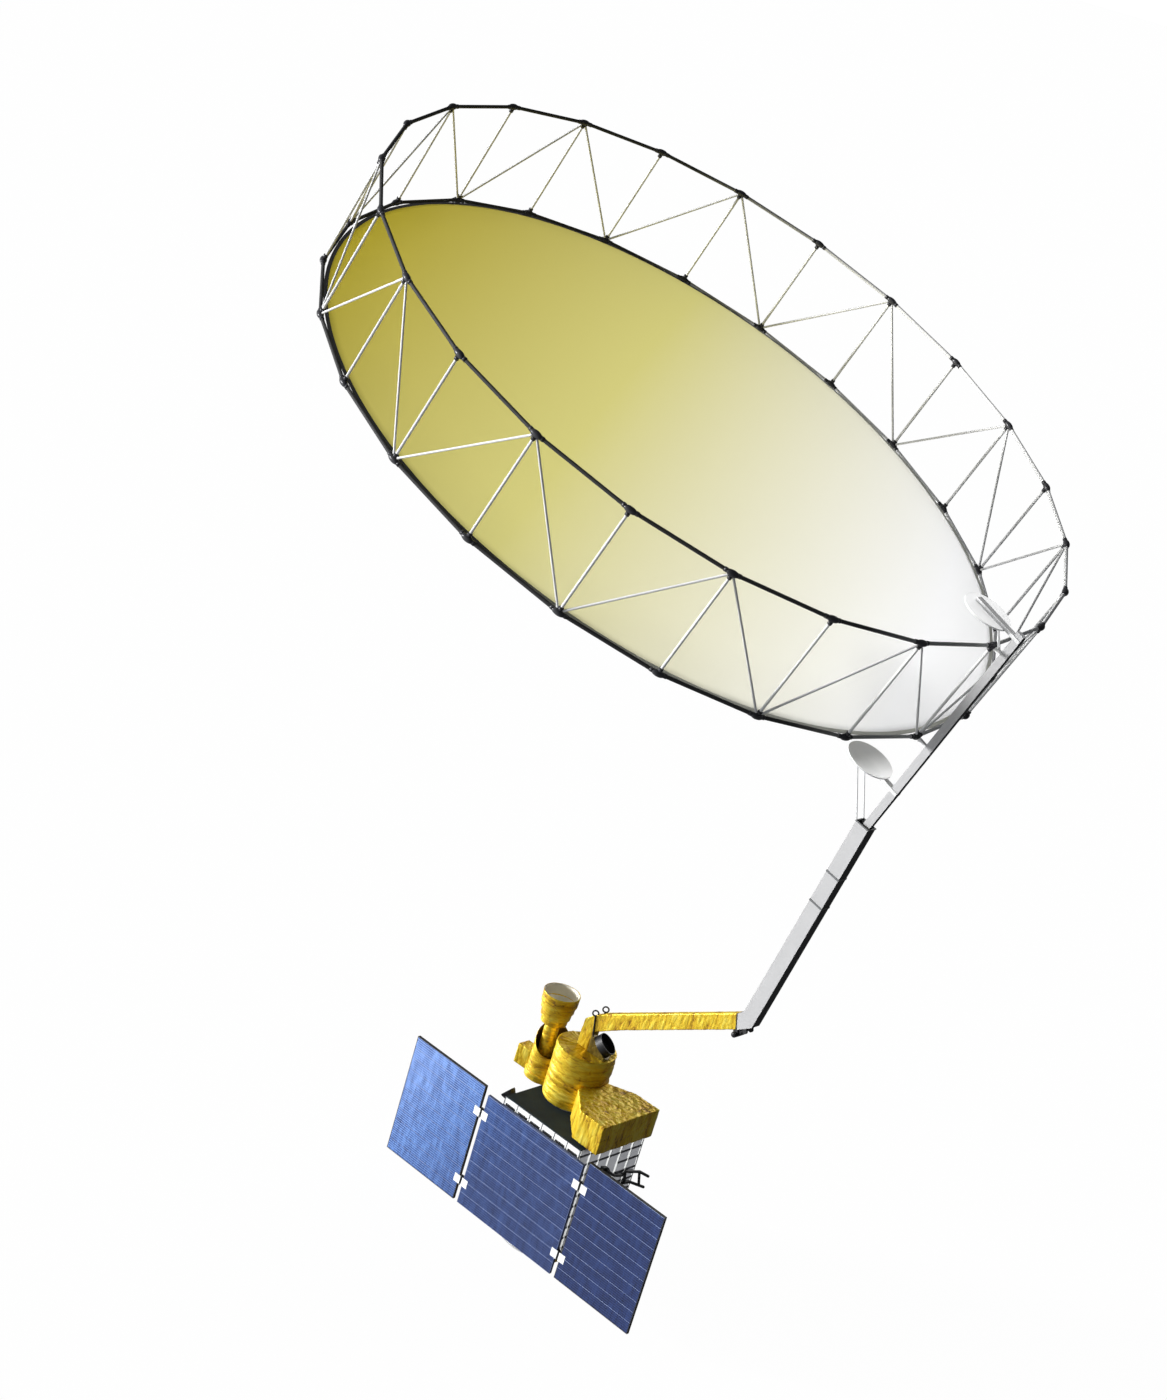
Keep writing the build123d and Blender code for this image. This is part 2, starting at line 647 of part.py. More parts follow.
# Bands over the lower boom's seams, as distances from its top
SEAMS_BELOW_TOP = (757.0, 479.0)
SEAM_W = 16.0
SEAM_PROUD = 3.0
with BuildPart() as seam_bands:
    for below_top in SEAMS_BELOW_TOP:
        with BuildSketch(boom_top.offset(-below_top)):
            Rectangle(BOOM_W + 2 * SEAM_PROUD, BOOM_D + 2 * SEAM_PROUD)
            Rectangle(BOOM_W, BOOM_D, mode=Mode.SUBTRACT)
        extrude(amount=SEAM_W)
save(seam_bands, "seam_bands")

END_FRAME_T = 9.0
END_FRAME_PROUD = 4.0
with BuildPart() as boom_end_frame:
    with BuildSketch(boom_top):
        Rectangle(BOOM_W + 2 * END_FRAME_PROUD, BOOM_D + 2 * END_FRAME_PROUD)
        Rectangle(BOOM_W - 2 * BOOM_WALL, BOOM_D - 2 * BOOM_WALL, mode=Mode.SUBTRACT)
    extrude(amount=END_FRAME_T)
save(boom_end_frame, "boom_end_frame")

# Upper boom: a slimmer pole that leans further and stands in the lower boom's socket
pole_base = boom_top.from_local_coords(Vector(0, -POLE_OUTBOARD, POLE_START))
pole_run = Vector(sin(radians(POLE_LEAN)), 0, cos(radians(POLE_LEAN)))
pole_side = Plane(origin=pole_base, x_dir=pole_run, z_dir=(0, -1, 0))
pole_across = Plane(origin=pole_base, x_dir=(0, 1, 0), z_dir=pole_run)
POLE_ROOT = 260.0
with BuildPart() as upper_boom:
    with BuildSketch(pole_across):
        Rectangle(POLE_W, POLE_D)
    extrude(amount=POLE_LENGTH)
    with BuildSketch(pole_across):
        Rectangle(POLE_W, POLE_D)
    extrude(amount=-POLE_ROOT)
    split(bisect_by=boom_top.offset(-SOCKET_DEPTH), keep=Keep.TOP)
save(upper_boom, "upper_boom")

# Round plates that end the stowed bundle of the hoop, each on a sloping bracket
PLATE_T = 12.0
PLATE_W = 305.0
LOWER_PLATE_U = 366.0
UPPER_PLATE_U = 1855.0
for label, along in (("lower_stow_plate", LOWER_PLATE_U), ("upper_stow_plate", UPPER_PLATE_U)):
    with BuildPart() as plate:
        with BuildSketch(pole_across.offset(along - PLATE_T / 2)):
            with Locations((0, PLATE_W)):
                Circle(PLATE_R)
        extrude(amount=PLATE_T)
    save(plate, label)

# Brackets: a channel under the lower plate and one on top of the upper plate, clasping the pole
BRACKET_H = 26.0
BRACKET_HALF = 27.0
BRACKET_REACH = 420.0
lower_bracket_u = LOWER_PLATE_U - PLATE_T / 2 - BRACKET_H
upper_bracket_u = UPPER_PLATE_U + PLATE_T / 2
for label, along in (("lower_plate_bracket", lower_bracket_u), ("upper_plate_bracket", upper_bracket_u)):
    with BuildPart() as bracket:
        with BuildSketch(pole_across.offset(along)):
            with Locations((0, (BRACKET_REACH - POLE_D / 2) / 2)):
                Rectangle(2 * BRACKET_HALF, BRACKET_REACH + POLE_D / 2)
            Rectangle(POLE_W, POLE_D, mode=Mode.SUBTRACT)
        extrude(amount=BRACKET_H)
    save(bracket, label)


def pole_point(along, inboard, y):
    """A point measured along the upper boom, towards the reflector, and sideways."""
    return pole_side.from_local_coords(Vector(along, inboard, -y))


# Hoop: two rings of chords, battens between them and diagonals in every other bay
tilt = radians(HOOP_TILT)
hoop_outward = Vector(cos(tilt), 0, -sin(tilt))
hoop_plane = Plane(
    origin=pole_point(HOOP_ALONG, HOOP_STANDOFF, 0) - hoop_outward * HOOP_R,
    x_dir=hoop_outward,
    z_dir=(sin(tilt), 0, cos(tilt)),
)


def node(index, level):
    """Centre of a hoop node. Node 0 is the one nearest the boom, level 0 is the mesh's ring."""
    angle = radians(360 / BAYS * index)
    return hoop_plane.from_local_coords(
        Vector(HOOP_R * cos(angle), HOOP_R * sin(angle), level * HOOP_DEPTH)
    )


def rods(pairs, radius, trim):
    """Equal straight tubes between pairs of points, each stopped short of both by trim."""
    start, end = pairs[0]
    length = (end - start).length - 2 * trim
    with Locations(*[rod_plane(a, b, trim) for a, b in pairs]):
        Cylinder(radius, length, align=(Align.CENTER, Align.CENTER, Align.MIN))


CHORD_TRIM = 34.4
for label, level in (("hoop_lower_tubes", 0), ("hoop_upper_tubes", 1)):
    with BuildPart() as chords:
        rods([(node(i, level), node(i + 1, level)) for i in range(BAYS)], CHORD_R, CHORD_TRIM)
    save(chords, label)

for label, level in (("hoop_lower_fittings", 0), ("hoop_upper_fittings", 1)):
    with BuildPart() as fittings:
        base = hoop_plane.offset(level * HOOP_DEPTH - FITTING_H / 2)
        with BuildSketch(base):
            with PolarLocations(HOOP_R, BAYS):
                RegularPolygon(FITTING_R, FITTING_SIDES, major_radius=False, rotation=180 / FITTING_SIDES)
        extrude(amount=FITTING_H)
    save(fittings, label)

with BuildPart() as hoop_battens:
    rods([(node(i, 0), node(i, 1)) for i in range(BAYS)], BATTEN_R, FITTING_H / 2)
save(hoop_battens, "hoop_battens")

DIAGONAL_TRIM = 35.0
with BuildPart() as hoop_diagonals:
    peaks = range(1, BAYS, 2)
    rods(
        [(node(i, 1), node(i + side, 0)) for i in peaks for side in (-1, 1)],
        DIAGONAL_R,
        DIAGONAL_TRIM,
    )
save(hoop_diagonals, "hoop_diagonals")

# Brackets that carry the hoop's nearest batten on the upper boom
CLEAT_W = 28.0
with BuildPart() as hoop_brackets:
    for level in (0, 1):
        centre = node(0, level)
        local = pole_side.to_local_coords(centre)
        with BuildSketch(Plane(
            origin=pole_point(local.X, POLE_D / 2, 0), x_dir=(0, 1, 0), z_dir=pole_side.y_dir
        )):
            Rectangle(CLEAT_W, CLEAT_W)
        extrude(amount=local.Y - POLE_D / 2)
    for level in (0, 1):
        with BuildSketch(hoop_plane.offset(level * HOOP_DEPTH - FITTING_H / 2)):
            with Locations((HOOP_R, 0)):
                RegularPolygon(FITTING_R, FITTING_SIDES, major_radius=False, rotation=180 / FITTING_SIDES)
        extrude(amount=FITTING_H, mode=Mode.SUBTRACT)
save(hoop_brackets, "hoop_brackets")

# Stays: two from each round plate, down to the boom's end frame and to the upper cleat
STAY_R = 5.0
STAY_Y = 45.0
STAY_HEAD = 400.0
STRUT_HEAD = 190.0
STRUT_FOOT = 62.0
STRUT_Y = 8.0


def stay_trim(run, normal):
    """How far a stay stops short of a face, so that its end's edge just meets it."""
    slope = abs(run.dot(normal))
    return STAY_R * sqrt(1 - slope**2) / slope


upper_cleat_u = pole_side.to_local_coords(node(0, 1)).X + CLEAT_W / 2
# head, foot, normal at the foot
stays = []
for side in (-1, 1):
    stays.append((
        pole_point(LOWER_PLATE_U - PLATE_T / 2, STAY_HEAD, side * STAY_Y),
        boom_top.from_local_coords(Vector(side * STAY_Y, BOOM_D / 2, END_FRAME_T)),
        boom_run,
    ))
    stays.append((
        pole_point(UPPER_PLATE_U - PLATE_T / 2, STRUT_HEAD, side * STRUT_Y),
        pole_point(upper_cleat_u, STRUT_FOOT, side * STRUT_Y),
        pole_run,
    ))
with BuildPart() as stow_stays:
    for head, foot, foot_normal in stays:
        run = (foot - head).normalized()
        head_trim = stay_trim(run, pole_run)
        length = (foot - head).length - head_trim - stay_trim(run, foot_normal)
        with Locations(rod_plane(head, foot, head_trim)):
            Cylinder(STAY_R, length, align=(Align.CENTER, Align.CENTER, Align.MIN))
save(stow_stays, "stow_stays")

# Mesh dish: a thin bowl that bulges towards the upper ring, with a dark tension band round it
dish_radius = (MESH_R**2 + MESH_RISE**2) / (2 * MESH_RISE)


def dish_height(radius):
    """Height of the bowl above the mesh ring at a distance from its axis."""
    return sqrt(dish_radius**2 - radius**2) - (dish_radius - MESH_RISE)


dish_side = Plane(origin=hoop_plane.origin, x_dir=hoop_plane.x_dir, z_dir=-hoop_plane.y_dir)
with BuildPart() as reflector_mesh:
    with BuildSketch(dish_side):
        with BuildLine():
            ThreePointArc(
                (0, MESH_RISE), (MESH_R / 2, dish_height(MESH_R / 2)), (MESH_R, 0)
            )
            Line((MESH_R, 0), (MESH_R, MESH_T))
            ThreePointArc(
                (MESH_R, MESH_T), (MESH_R / 2, dish_height(MESH_R / 2) + MESH_T), (0, MESH_RISE + MESH_T)
            )
            Line((0, MESH_RISE + MESH_T), (0, MESH_RISE))
        make_face()
    revolve(axis=Axis(hoop_plane.origin, hoop_plane.z_dir))
save(reflector_mesh, "reflector_mesh")

with BuildPart() as mesh_edge:
    with BuildSketch(hoop_plane.offset(MESH_T - BAND_T)):
        Circle(BAND_R)
        Circle(MESH_R, mode=Mode.SUBTRACT)
    extrude(amount=BAND_T)
save(mesh_edge, "mesh_edge")
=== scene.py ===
import math

import bmesh
import bpy
from mathutils import Euler, Matrix, Vector, noise


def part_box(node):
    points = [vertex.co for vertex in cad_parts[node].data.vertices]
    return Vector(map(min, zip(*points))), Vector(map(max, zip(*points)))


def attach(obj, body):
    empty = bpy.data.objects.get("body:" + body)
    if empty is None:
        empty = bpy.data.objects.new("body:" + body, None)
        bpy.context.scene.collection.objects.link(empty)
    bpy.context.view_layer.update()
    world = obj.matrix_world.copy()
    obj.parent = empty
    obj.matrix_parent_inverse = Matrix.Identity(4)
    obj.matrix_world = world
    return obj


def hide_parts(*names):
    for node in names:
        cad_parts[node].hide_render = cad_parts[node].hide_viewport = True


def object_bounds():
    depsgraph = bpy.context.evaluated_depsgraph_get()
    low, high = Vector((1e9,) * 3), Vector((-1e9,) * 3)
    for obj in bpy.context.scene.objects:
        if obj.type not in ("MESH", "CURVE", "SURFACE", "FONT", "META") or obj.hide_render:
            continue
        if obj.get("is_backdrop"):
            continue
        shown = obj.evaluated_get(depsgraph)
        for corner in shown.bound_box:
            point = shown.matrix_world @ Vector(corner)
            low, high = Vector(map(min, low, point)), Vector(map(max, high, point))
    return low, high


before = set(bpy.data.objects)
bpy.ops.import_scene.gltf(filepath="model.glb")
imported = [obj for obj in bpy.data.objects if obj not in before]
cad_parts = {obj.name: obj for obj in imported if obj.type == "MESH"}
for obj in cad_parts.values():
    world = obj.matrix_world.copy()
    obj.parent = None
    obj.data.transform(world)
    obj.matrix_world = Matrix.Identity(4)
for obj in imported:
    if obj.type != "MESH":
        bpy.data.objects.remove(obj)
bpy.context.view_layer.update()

# Places that the frame's boxes don't give
SPIN_AXIS = Vector((-0.157, 0.092, 0.0))
DECK_Z = 1.2
SIDE_DRUM_AXIS = Vector((-0.504, 0.092, 0.0))
FEED_AXIS = Vector((-0.547, 0.092, 0.0))

# Hoop truss, as the CAD model has it
HOOP_R = 3.0
HOOP_DEPTH = 0.928
HOOP_TILT = math.radians(21.18)
HOOP_CENTRE = Vector((-1.035, 0.092, 6.495))
BAYS = 24
MESH_R = 2.930
MESH_RISE = 0.512

# Helpers for objects


def link(obj):
    bpy.context.scene.collection.objects.link(obj)
    return obj


def object_from(mesh, name):
    """A linked object from a bmesh, which is freed."""
    data = bpy.data.meshes.new(name)
    mesh.to_mesh(data)
    mesh.free()
    return link(bpy.data.objects.new(name, data))


def ball(mesh, segments, rings, matrix):
    """Adds a unit sphere to a bmesh, placed and drawn out by a matrix."""
    bmesh.ops.create_uvsphere(mesh, u_segments=segments, v_segments=rings, radius=1.0, matrix=matrix)


def piece(name, verts, faces, body, material, smooth=True):
    """A mesh object that rides on a body."""
    mesh = bpy.data.meshes.new(name)
    mesh.from_pydata([tuple(v) for v in verts], [], faces)
    mesh.validate()
    obj = link(bpy.data.objects.new(name, mesh))
    dress(obj, body, material, smooth)
    return obj


def dress(obj, body, material, smooth=True):
    obj.data.materials.clear()
    obj.data.materials.append(material)
    for face in obj.data.polygons:
        face.use_smooth = smooth
    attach(obj, body)


def paint(node, material):
    """Puts a material on a CAD node whose shape is right."""
    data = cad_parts[node].data
    data.materials.clear()
    data.materials.append(material)


def paint_facing(node, material, other, facing):
    """Puts a second material on the faces of a CAD node that look along facing."""
    paint(node, material)
    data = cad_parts[node].data
    data.materials.append(other)
    for face in data.polygons:
        face.material_index = 1 if face.normal.dot(facing) > 0.6 else 0


def paint_behind(node, material, other, front):
    """Puts a second material on the faces of a CAD node that lie behind the plane y = front."""
    paint(node, material)
    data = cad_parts[node].data
    data.materials.append(other)
    for face in data.polygons:
        face.material_index = 1 if face.center.y > front + 0.0001 else 0


def thicken(node, amount):
    """Makes a CAD node's wires a little stouter."""
    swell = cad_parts[node].modifiers.new("stouter", "DISPLACE")
    swell.strength = amount
    swell.mid_level = 0.0


def soften(node, width):
    """Small bevels on a CAD node's edges, so that they catch the light."""
    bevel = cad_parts[node].modifiers.new("edges", "BEVEL")
    bevel.width = width
    bevel.segments = 2
    bevel.limit_method = "ANGLE"


# Materials


def nodes_of(name):
    material = bpy.data.materials.new(name)
    material.use_nodes = True
    tree = material.node_tree
    tree.nodes.clear()
    out = tree.nodes.new("ShaderNodeOutputMaterial")
    shader = tree.nodes.new("ShaderNodeBsdfPrincipled")
    tree.links.new(shader.outputs["BSDF"], out.inputs["Surface"])
    return material, tree, shader


def arithmetic(tree, operation, factor=None):
    """A Math node. factor is its second number."""
    node = tree.nodes.new("ShaderNodeMath")
    node.operation = operation
    if factor is not None:
        node.inputs[1].default_value = factor
    return node


def coords(tree, scale=(1, 1, 1)):
    place = tree.nodes.new("ShaderNodeTexCoord")
    mapping = tree.nodes.new("ShaderNodeMapping")
    mapping.inputs["Scale"].default_value = scale
    tree.links.new(place.outputs["Object"], mapping.inputs["Vector"])
    return mapping.outputs["Vector"]


def noise_tex(tree, vector, scale, detail=4.0, rough=0.55):
    tex = tree.nodes.new("ShaderNodeTexNoise")
    tex.inputs["Scale"].default_value = scale
    tex.inputs["Detail"].default_value = detail
    tex.inputs["Roughness"].default_value = rough
    tree.links.new(vector, tex.inputs["Vector"])
    return tex.outputs["Fac"]


def ramp(tree, factor, stops):
    node = tree.nodes.new("ShaderNodeValToRGB")
    elements = node.color_ramp.elements
    while len(elements) < len(stops):
        elements.new(0.5)
    for element, (position, colour) in zip(elements, stops):
        element.position = position
        element.color = (*colour, 1.0)
    tree.links.new(factor, node.inputs["Fac"])
    return node.outputs["Color"]


def bump(tree, shader, height, strength, distance):
    node = tree.nodes.new("ShaderNodeBump")
    node.inputs["Strength"].default_value = strength
    node.inputs["Distance"].default_value = distance
    tree.links.new(height, node.inputs["Height"])
    tree.links.new(node.outputs["Normal"], shader.inputs["Normal"])


FOIL_COLOURS = (
    (0.42, (0.25, 0.12, 0.004)), (0.51, (0.72, 0.42, 0.010)), (0.60, (0.92, 0.64, 0.025)),
    (0.73, (1.0, 0.84, 0.12)),
)
SHADED_COLOURS = ((0.45, (0.09, 0.06, 0.008)), (0.68, (0.24, 0.17, 0.022)))


def foil_material(name, stretch, streak, colours=FOIL_COLOURS):
    """Crinkled gold film: soft billows, long creases darkened as painted shade, fine streaks, colour that
    deepens in folds as painted shade.
    """
    material, tree, shader = nodes_of(name)
    place = coords(tree, stretch)
    sway = tree.nodes.new("ShaderNodeTexNoise")
    sway.inputs["Scale"].default_value = 9.0
    sway.inputs["Detail"].default_value = 3.0
    tree.links.new(place, sway.inputs["Vector"])
    bent = tree.nodes.new("ShaderNodeVectorMath")
    bent.operation = "MULTIPLY_ADD"
    bent.inputs[1].default_value = (0.10, 0.10, 0.10)
    tree.links.new(sway.outputs["Color"], bent.inputs[0])
    tree.links.new(place, bent.inputs[2])
    creases = tree.nodes.new("ShaderNodeTexVoronoi")
    creases.feature = "DISTANCE_TO_EDGE"
    creases.inputs["Scale"].default_value = 13.0
    tree.links.new(bent.outputs["Vector"], creases.inputs["Vector"])
    # Painted shade: the colour darkens towards each crease
    crease_shade = tree.nodes.new("ShaderNodeMapRange")
    crease_shade.inputs["From Max"].default_value = 0.055
    crease_shade.inputs["To Max"].default_value = 0.085
    tree.links.new(creases.outputs["Distance"], crease_shade.inputs["Value"])
    billows = noise_tex(tree, place, 8.0, 4.0, 0.6)
    streaks = noise_tex(tree, coords(tree, streak), 10.0, 5.0, 0.7)
    folds = arithmetic(tree, "MULTIPLY_ADD", 0.5)
    tree.links.new(creases.outputs["Distance"], folds.inputs[0])
    tree.links.new(billows, folds.inputs[2])
    height = arithmetic(tree, "MULTIPLY_ADD", 0.55)
    tree.links.new(streaks, height.inputs[0])
    tree.links.new(folds.outputs[0], height.inputs[2])
    shade = arithmetic(tree, "MULTIPLY_ADD", 0.5)
    tree.links.new(streaks, shade.inputs[0])
    half = arithmetic(tree, "MULTIPLY", 0.5)
    tree.links.new(billows, half.inputs[0])
    tree.links.new(half.outputs[0], shade.inputs[2])
    tone = arithmetic(tree, "ADD")
    tree.links.new(shade.outputs[0], tone.inputs[0])
    tree.links.new(crease_shade.outputs["Result"], tone.inputs[1])
    tree.links.new(ramp(tree, tone.outputs[0], colours), shader.inputs["Base Color"])
    rough = tree.nodes.new("ShaderNodeMapRange")
    rough.inputs["To Min"].default_value = 0.26
    rough.inputs["To Max"].default_value = 0.46
    tree.links.new(streaks, rough.inputs["Value"])
    tree.links.new(rough.outputs["Result"], shader.inputs["Roughness"])
    shader.inputs["Metallic"].default_value = 0.45
    bump(tree, shader, height.outputs[0], 0.8, 0.014)
    return material


def plain_material(name, colour, roughness, metallic=0.0, spread=0.06, grain=60.0):
    """Paint, plastic or bare metal with faint mottling and a fine surface."""
    material, tree, shader = nodes_of(name)
    place = coords(tree)
    mottle = noise_tex(tree, place, 7.0, 5.0)
    dark = tuple(max(0.0, c * (1 - spread * 2.2)) for c in colour)
    light = tuple(min(1.0, c * (1 + spread)) for c in colour)
    tree.links.new(ramp(tree, mottle, ((0.35, dark), (0.65, light))), shader.inputs["Base Color"])
    fine = noise_tex(tree, place, grain, 3.0)
    rough = tree.nodes.new("ShaderNodeMapRange")
    rough.inputs["To Min"].default_value = max(0.05, roughness - 0.07)
    rough.inputs["To Max"].default_value = roughness + 0.07
    tree.links.new(fine, rough.inputs["Value"])
    tree.links.new(rough.outputs["Result"], shader.inputs["Roughness"])
    shader.inputs["Metallic"].default_value = metallic
    bump(tree, shader, fine, 0.35, 0.0006)
    return material


# Gold, straw and white across the dish: gold is the net's own colour, and the fade through straw to white
# is a painted highlight
NET_GOLD_AND_SHEEN = ((0.0, (0.40, 0.32, 0.01)), (0.4, (0.65, 0.60, 0.20)), (0.9, (1.0, 1.0, 1.0)))
# Black painted shade and off-white painted light round its edge band and along the rings' tubes
EDGE_PAINTED_SHADE = ((0.4, (0.02, 0.02, 0.02)), (0.7, (0.80, 0.80, 0.70)))
RING_PAINTED_SHADE = ((0.55, (0.05, 0.05, 0.05)), (0.85, (0.85, 0.85, 0.85)))


def fading_material(name, colours, turn):
    """A fine woven surface whose colour fades across the hoop, along a line turned from the boom's, as
    painted light and shade.
    """
    material, tree, shader = nodes_of(name)
    place = tree.nodes.new("ShaderNodeTexCoord").outputs["Object"]
    along = tree.nodes.new("ShaderNodeVectorMath")
    along.operation = "DOT_PRODUCT"
    fade = math.radians(turn)
    along.inputs[1].default_value = (
        math.cos(fade) * math.cos(HOOP_TILT), math.sin(fade), -math.cos(fade) * math.sin(HOOP_TILT),
    )
    tree.links.new(place, along.inputs[0])
    middle = HOOP_CENTRE.dot(Vector(along.inputs[1].default_value))
    reach = tree.nodes.new("ShaderNodeMapRange")
    reach.inputs["From Min"].default_value = middle - MESH_R
    reach.inputs["From Max"].default_value = middle + MESH_R
    tree.links.new(along.outputs["Value"], reach.inputs["Value"])
    colour = ramp(tree, reach.outputs["Result"], colours)
    tree.links.new(colour, shader.inputs["Base Color"])
    weave = tree.nodes.new("ShaderNodeTexVoronoi")
    weave.feature = "DISTANCE_TO_EDGE"
    weave.inputs["Scale"].default_value = 110.0
    tree.links.new(place, weave.inputs["Vector"])
    shader.inputs["Roughness"].default_value = 0.6
    shader.inputs["Metallic"].default_value = 0.0
    shader.inputs["Specular IOR Level"].default_value = 0.2
    bump(tree, shader, weave.outputs["Distance"], 0.2, 0.001)
    return material


CELL_BLUES = ((0.36, (0.006, 0.014, 0.062)), (0.50, (0.013, 0.028, 0.105)), (0.64, (0.026, 0.052, 0.165)))
FINGER_BLUE = (0.045, 0.072, 0.185, 1.0)
# How much a painted glare lifts each panel's blue and painted shade lowers it, from its upper left on
LEFT_PAINTED_GLARE = ((0.0, (8.5, 7.4, 5.0)), (0.25, (4.6, 4.8, 3.7)), (0.46, (2.3, 2.5, 2.2)))
CENTRE_PAINTED_GLARE = ((0.25, (1.9, 2.2, 2.1)), (0.45, (1.2, 1.25, 1.25)), (0.78, (0.9, 0.9, 0.95)))
RIGHT_PAINTED_SHADE = ((0.4, (0.70, 0.80, 0.92)), (0.9, (0.48, 0.60, 0.78)))


def cell_material(name, glare_and_shade):
    """Blue cells: blotchy blue, a painted glare and painted shade that change slowly over a panel, fine
    grid fingers and cover glass.
    """
    material, tree, shader = nodes_of(name)
    place = coords(tree)
    blotch = noise_tex(tree, coords(tree, (1.0, 1.0, 0.35)), 18.0, 6.0, 0.75)
    colour = ramp(tree, blotch, CELL_BLUES)
    split = tree.nodes.new("ShaderNodeSeparateXYZ")
    tree.links.new(tree.nodes.new("ShaderNodeTexCoord").outputs["Object"], split.inputs["Vector"])
    # Painted light: a line across the panel along which the painted glare fades into painted shade
    glare_line = arithmetic(tree, "MULTIPLY_ADD", -0.8)
    tree.links.new(split.outputs["Z"], glare_line.inputs[0])
    tree.links.new(split.outputs["X"], glare_line.inputs[2])
    side = tree.nodes.new("ShaderNodeMapRange")
    side.inputs["From Min"].default_value = -2.4
    side.inputs["From Max"].default_value = 1.3
    tree.links.new(glare_line.outputs[0], side.inputs["Value"])
    glare_and_shade_mix = tree.nodes.new("ShaderNodeMix")
    glare_and_shade_mix.data_type = "RGBA"
    glare_and_shade_mix.blend_type = "MULTIPLY"
    glare_and_shade_mix.inputs["Factor"].default_value = 1.0
    fingers = tree.nodes.new("ShaderNodeTexWave")
    fingers.wave_type = "BANDS"
    fingers.bands_direction = "Z"
    fingers.inputs["Scale"].default_value = 16.0
    tree.links.new(place, fingers.inputs["Vector"])
    line = ramp(tree, fingers.outputs["Fac"], ((0.70, (0, 0, 0)), (0.95, (1, 1, 1))))
    mix = tree.nodes.new("ShaderNodeMix")
    mix.data_type = "RGBA"
    tree.links.new(line, mix.inputs["Factor"])
    tree.links.new(colour, mix.inputs["A"])
    mix.inputs["B"].default_value = FINGER_BLUE
    tree.links.new(mix.outputs["Result"], glare_and_shade_mix.inputs["A"])
    tree.links.new(ramp(tree, side.outputs["Result"], glare_and_shade), glare_and_shade_mix.inputs["B"])
    tree.links.new(glare_and_shade_mix.outputs["Result"], shader.inputs["Base Color"])
    shader.inputs["Roughness"].default_value = 0.25
    shader.inputs["Specular IOR Level"].default_value = 0.35
    shader.inputs["Coat Weight"].default_value = 0.15
    shader.inputs["Coat Roughness"].default_value = 0.08
    bump(tree, shader, line, 0.2, 0.0006)
    return material


# Name, stretch of the creases and of the streaks
FOIL_BOX = foil_material("gold_foil_box", (1.0, 1.0, 0.45), (2.2, 2.2, 0.5))
FOIL_DRUM = foil_material("gold_foil_drum", (0.45, 0.45, 1.5), (0.6, 0.6, 3.2))
FOIL_ARM = foil_material("gold_foil_arm", (1.3, 1.0, 0.6), (3.5, 1.0, 0.7))
FOIL_SHADED = foil_material("gold_foil_shaded", (1.0, 1.0, 0.8), (1.5, 1.5, 1.0), SHADED_COLOURS)
FOIL_INSIDE_SHADE = plain_material("foil_inside_painted_shade", (0.26, 0.16, 0.03), 0.5, 0.5, 0.15)
NET = fading_material("gold_net", NET_GOLD_AND_SHEEN, 30.0)
NET_EDGE = fading_material("net_edge_band", EDGE_PAINTED_SHADE, 30.0)
RING = fading_material("ring_tube_painted_shade", RING_PAINTED_SHADE, 60.0)
CELLS_LEFT = cell_material("blue_cells_left", LEFT_PAINTED_GLARE)
CELLS_CENTRE = cell_material("blue_cells_centre", CENTRE_PAINTED_GLARE)
CELLS_RIGHT = cell_material("blue_cells_right", RIGHT_PAINTED_SHADE)
BUSBAR = plain_material("cell_busbar", (0.25, 0.32, 0.55), 0.35, 0.3)
WHITE = plain_material("white_paint", (0.86, 0.87, 0.86), 0.5, 0.0, 0.03)
GREY = plain_material("grey_tile_paint", (0.26, 0.265, 0.28), 0.5, 0.0, 0.05)
SLATE = plain_material("slate_gap", (0.20, 0.20, 0.21), 0.5, 0.0, 0.06)
DECK = plain_material("deck_black_paint", (0.007, 0.020, 0.034), 0.9, 0.0, 0.12)
BLACK = plain_material("black_plastic", (0.008, 0.008, 0.010), 0.5, 0.0, 0.2)
EDGE = plain_material("panel_edge_black", (0.016, 0.017, 0.02), 0.5, 0.0, 0.2)
EDGE_BLUE = plain_material("panel_edge_blue", (0.07, 0.10, 0.23), 0.5, 0.0, 0.1)
BARE = plain_material("bare_aluminium", (0.72, 0.73, 0.74), 0.35, 0.9)
LEAF = plain_material("leaf_white", (0.88, 0.90, 0.89), 0.4, 0.0, 0.03)
BOOM = plain_material("boom_grey", (0.475, 0.475, 0.48), 0.45, 0.0, 0.015, 18.0)
POLE = plain_material("pole_pale", (0.72, 0.72, 0.72), 0.45, 0.0, 0.02, 18.0)
BOOM_PAINTED_SHADE = plain_material("boom_painted_shade", (0.030, 0.030, 0.032), 0.5, 0.0, 0.12, 18.0)
TUBE = plain_material("truss_tube_white", (0.82, 0.82, 0.82), 0.45, 0.0, 0.03)
FITTING = plain_material("fitting_dark", (0.050, 0.050, 0.056), 0.35, 0.2, 0.12)
LINING = plain_material("horn_lining", (0.95, 0.90, 0.76), 0.42, 0.2, 0.05)
FRAME_GREY = plain_material("frame_grey", (0.16, 0.165, 0.17), 0.45, 0.3, 0.08)
STAY = plain_material("stay_white", (0.85, 0.86, 0.86), 0.4)

# Foil-wrapped pieces


def crinkle(point, scale, stretch=(1, 1, 1)):
    """Height of crumpled film at a point, about -1 to 1: ridges where two noises cross zero."""
    p = Vector((point.x * stretch[0], point.y * stretch[1], point.z * stretch[2])) * scale
    ridge = 1 - 2.2 * abs(noise.noise(p))
    small = 1 - 2.2 * abs(noise.noise(p * 2.3 + Vector((7.1, 3.3, 5.9))))
    return 0.62 * ridge + 0.30 * small + 0.25 * noise.noise(p * 0.4)


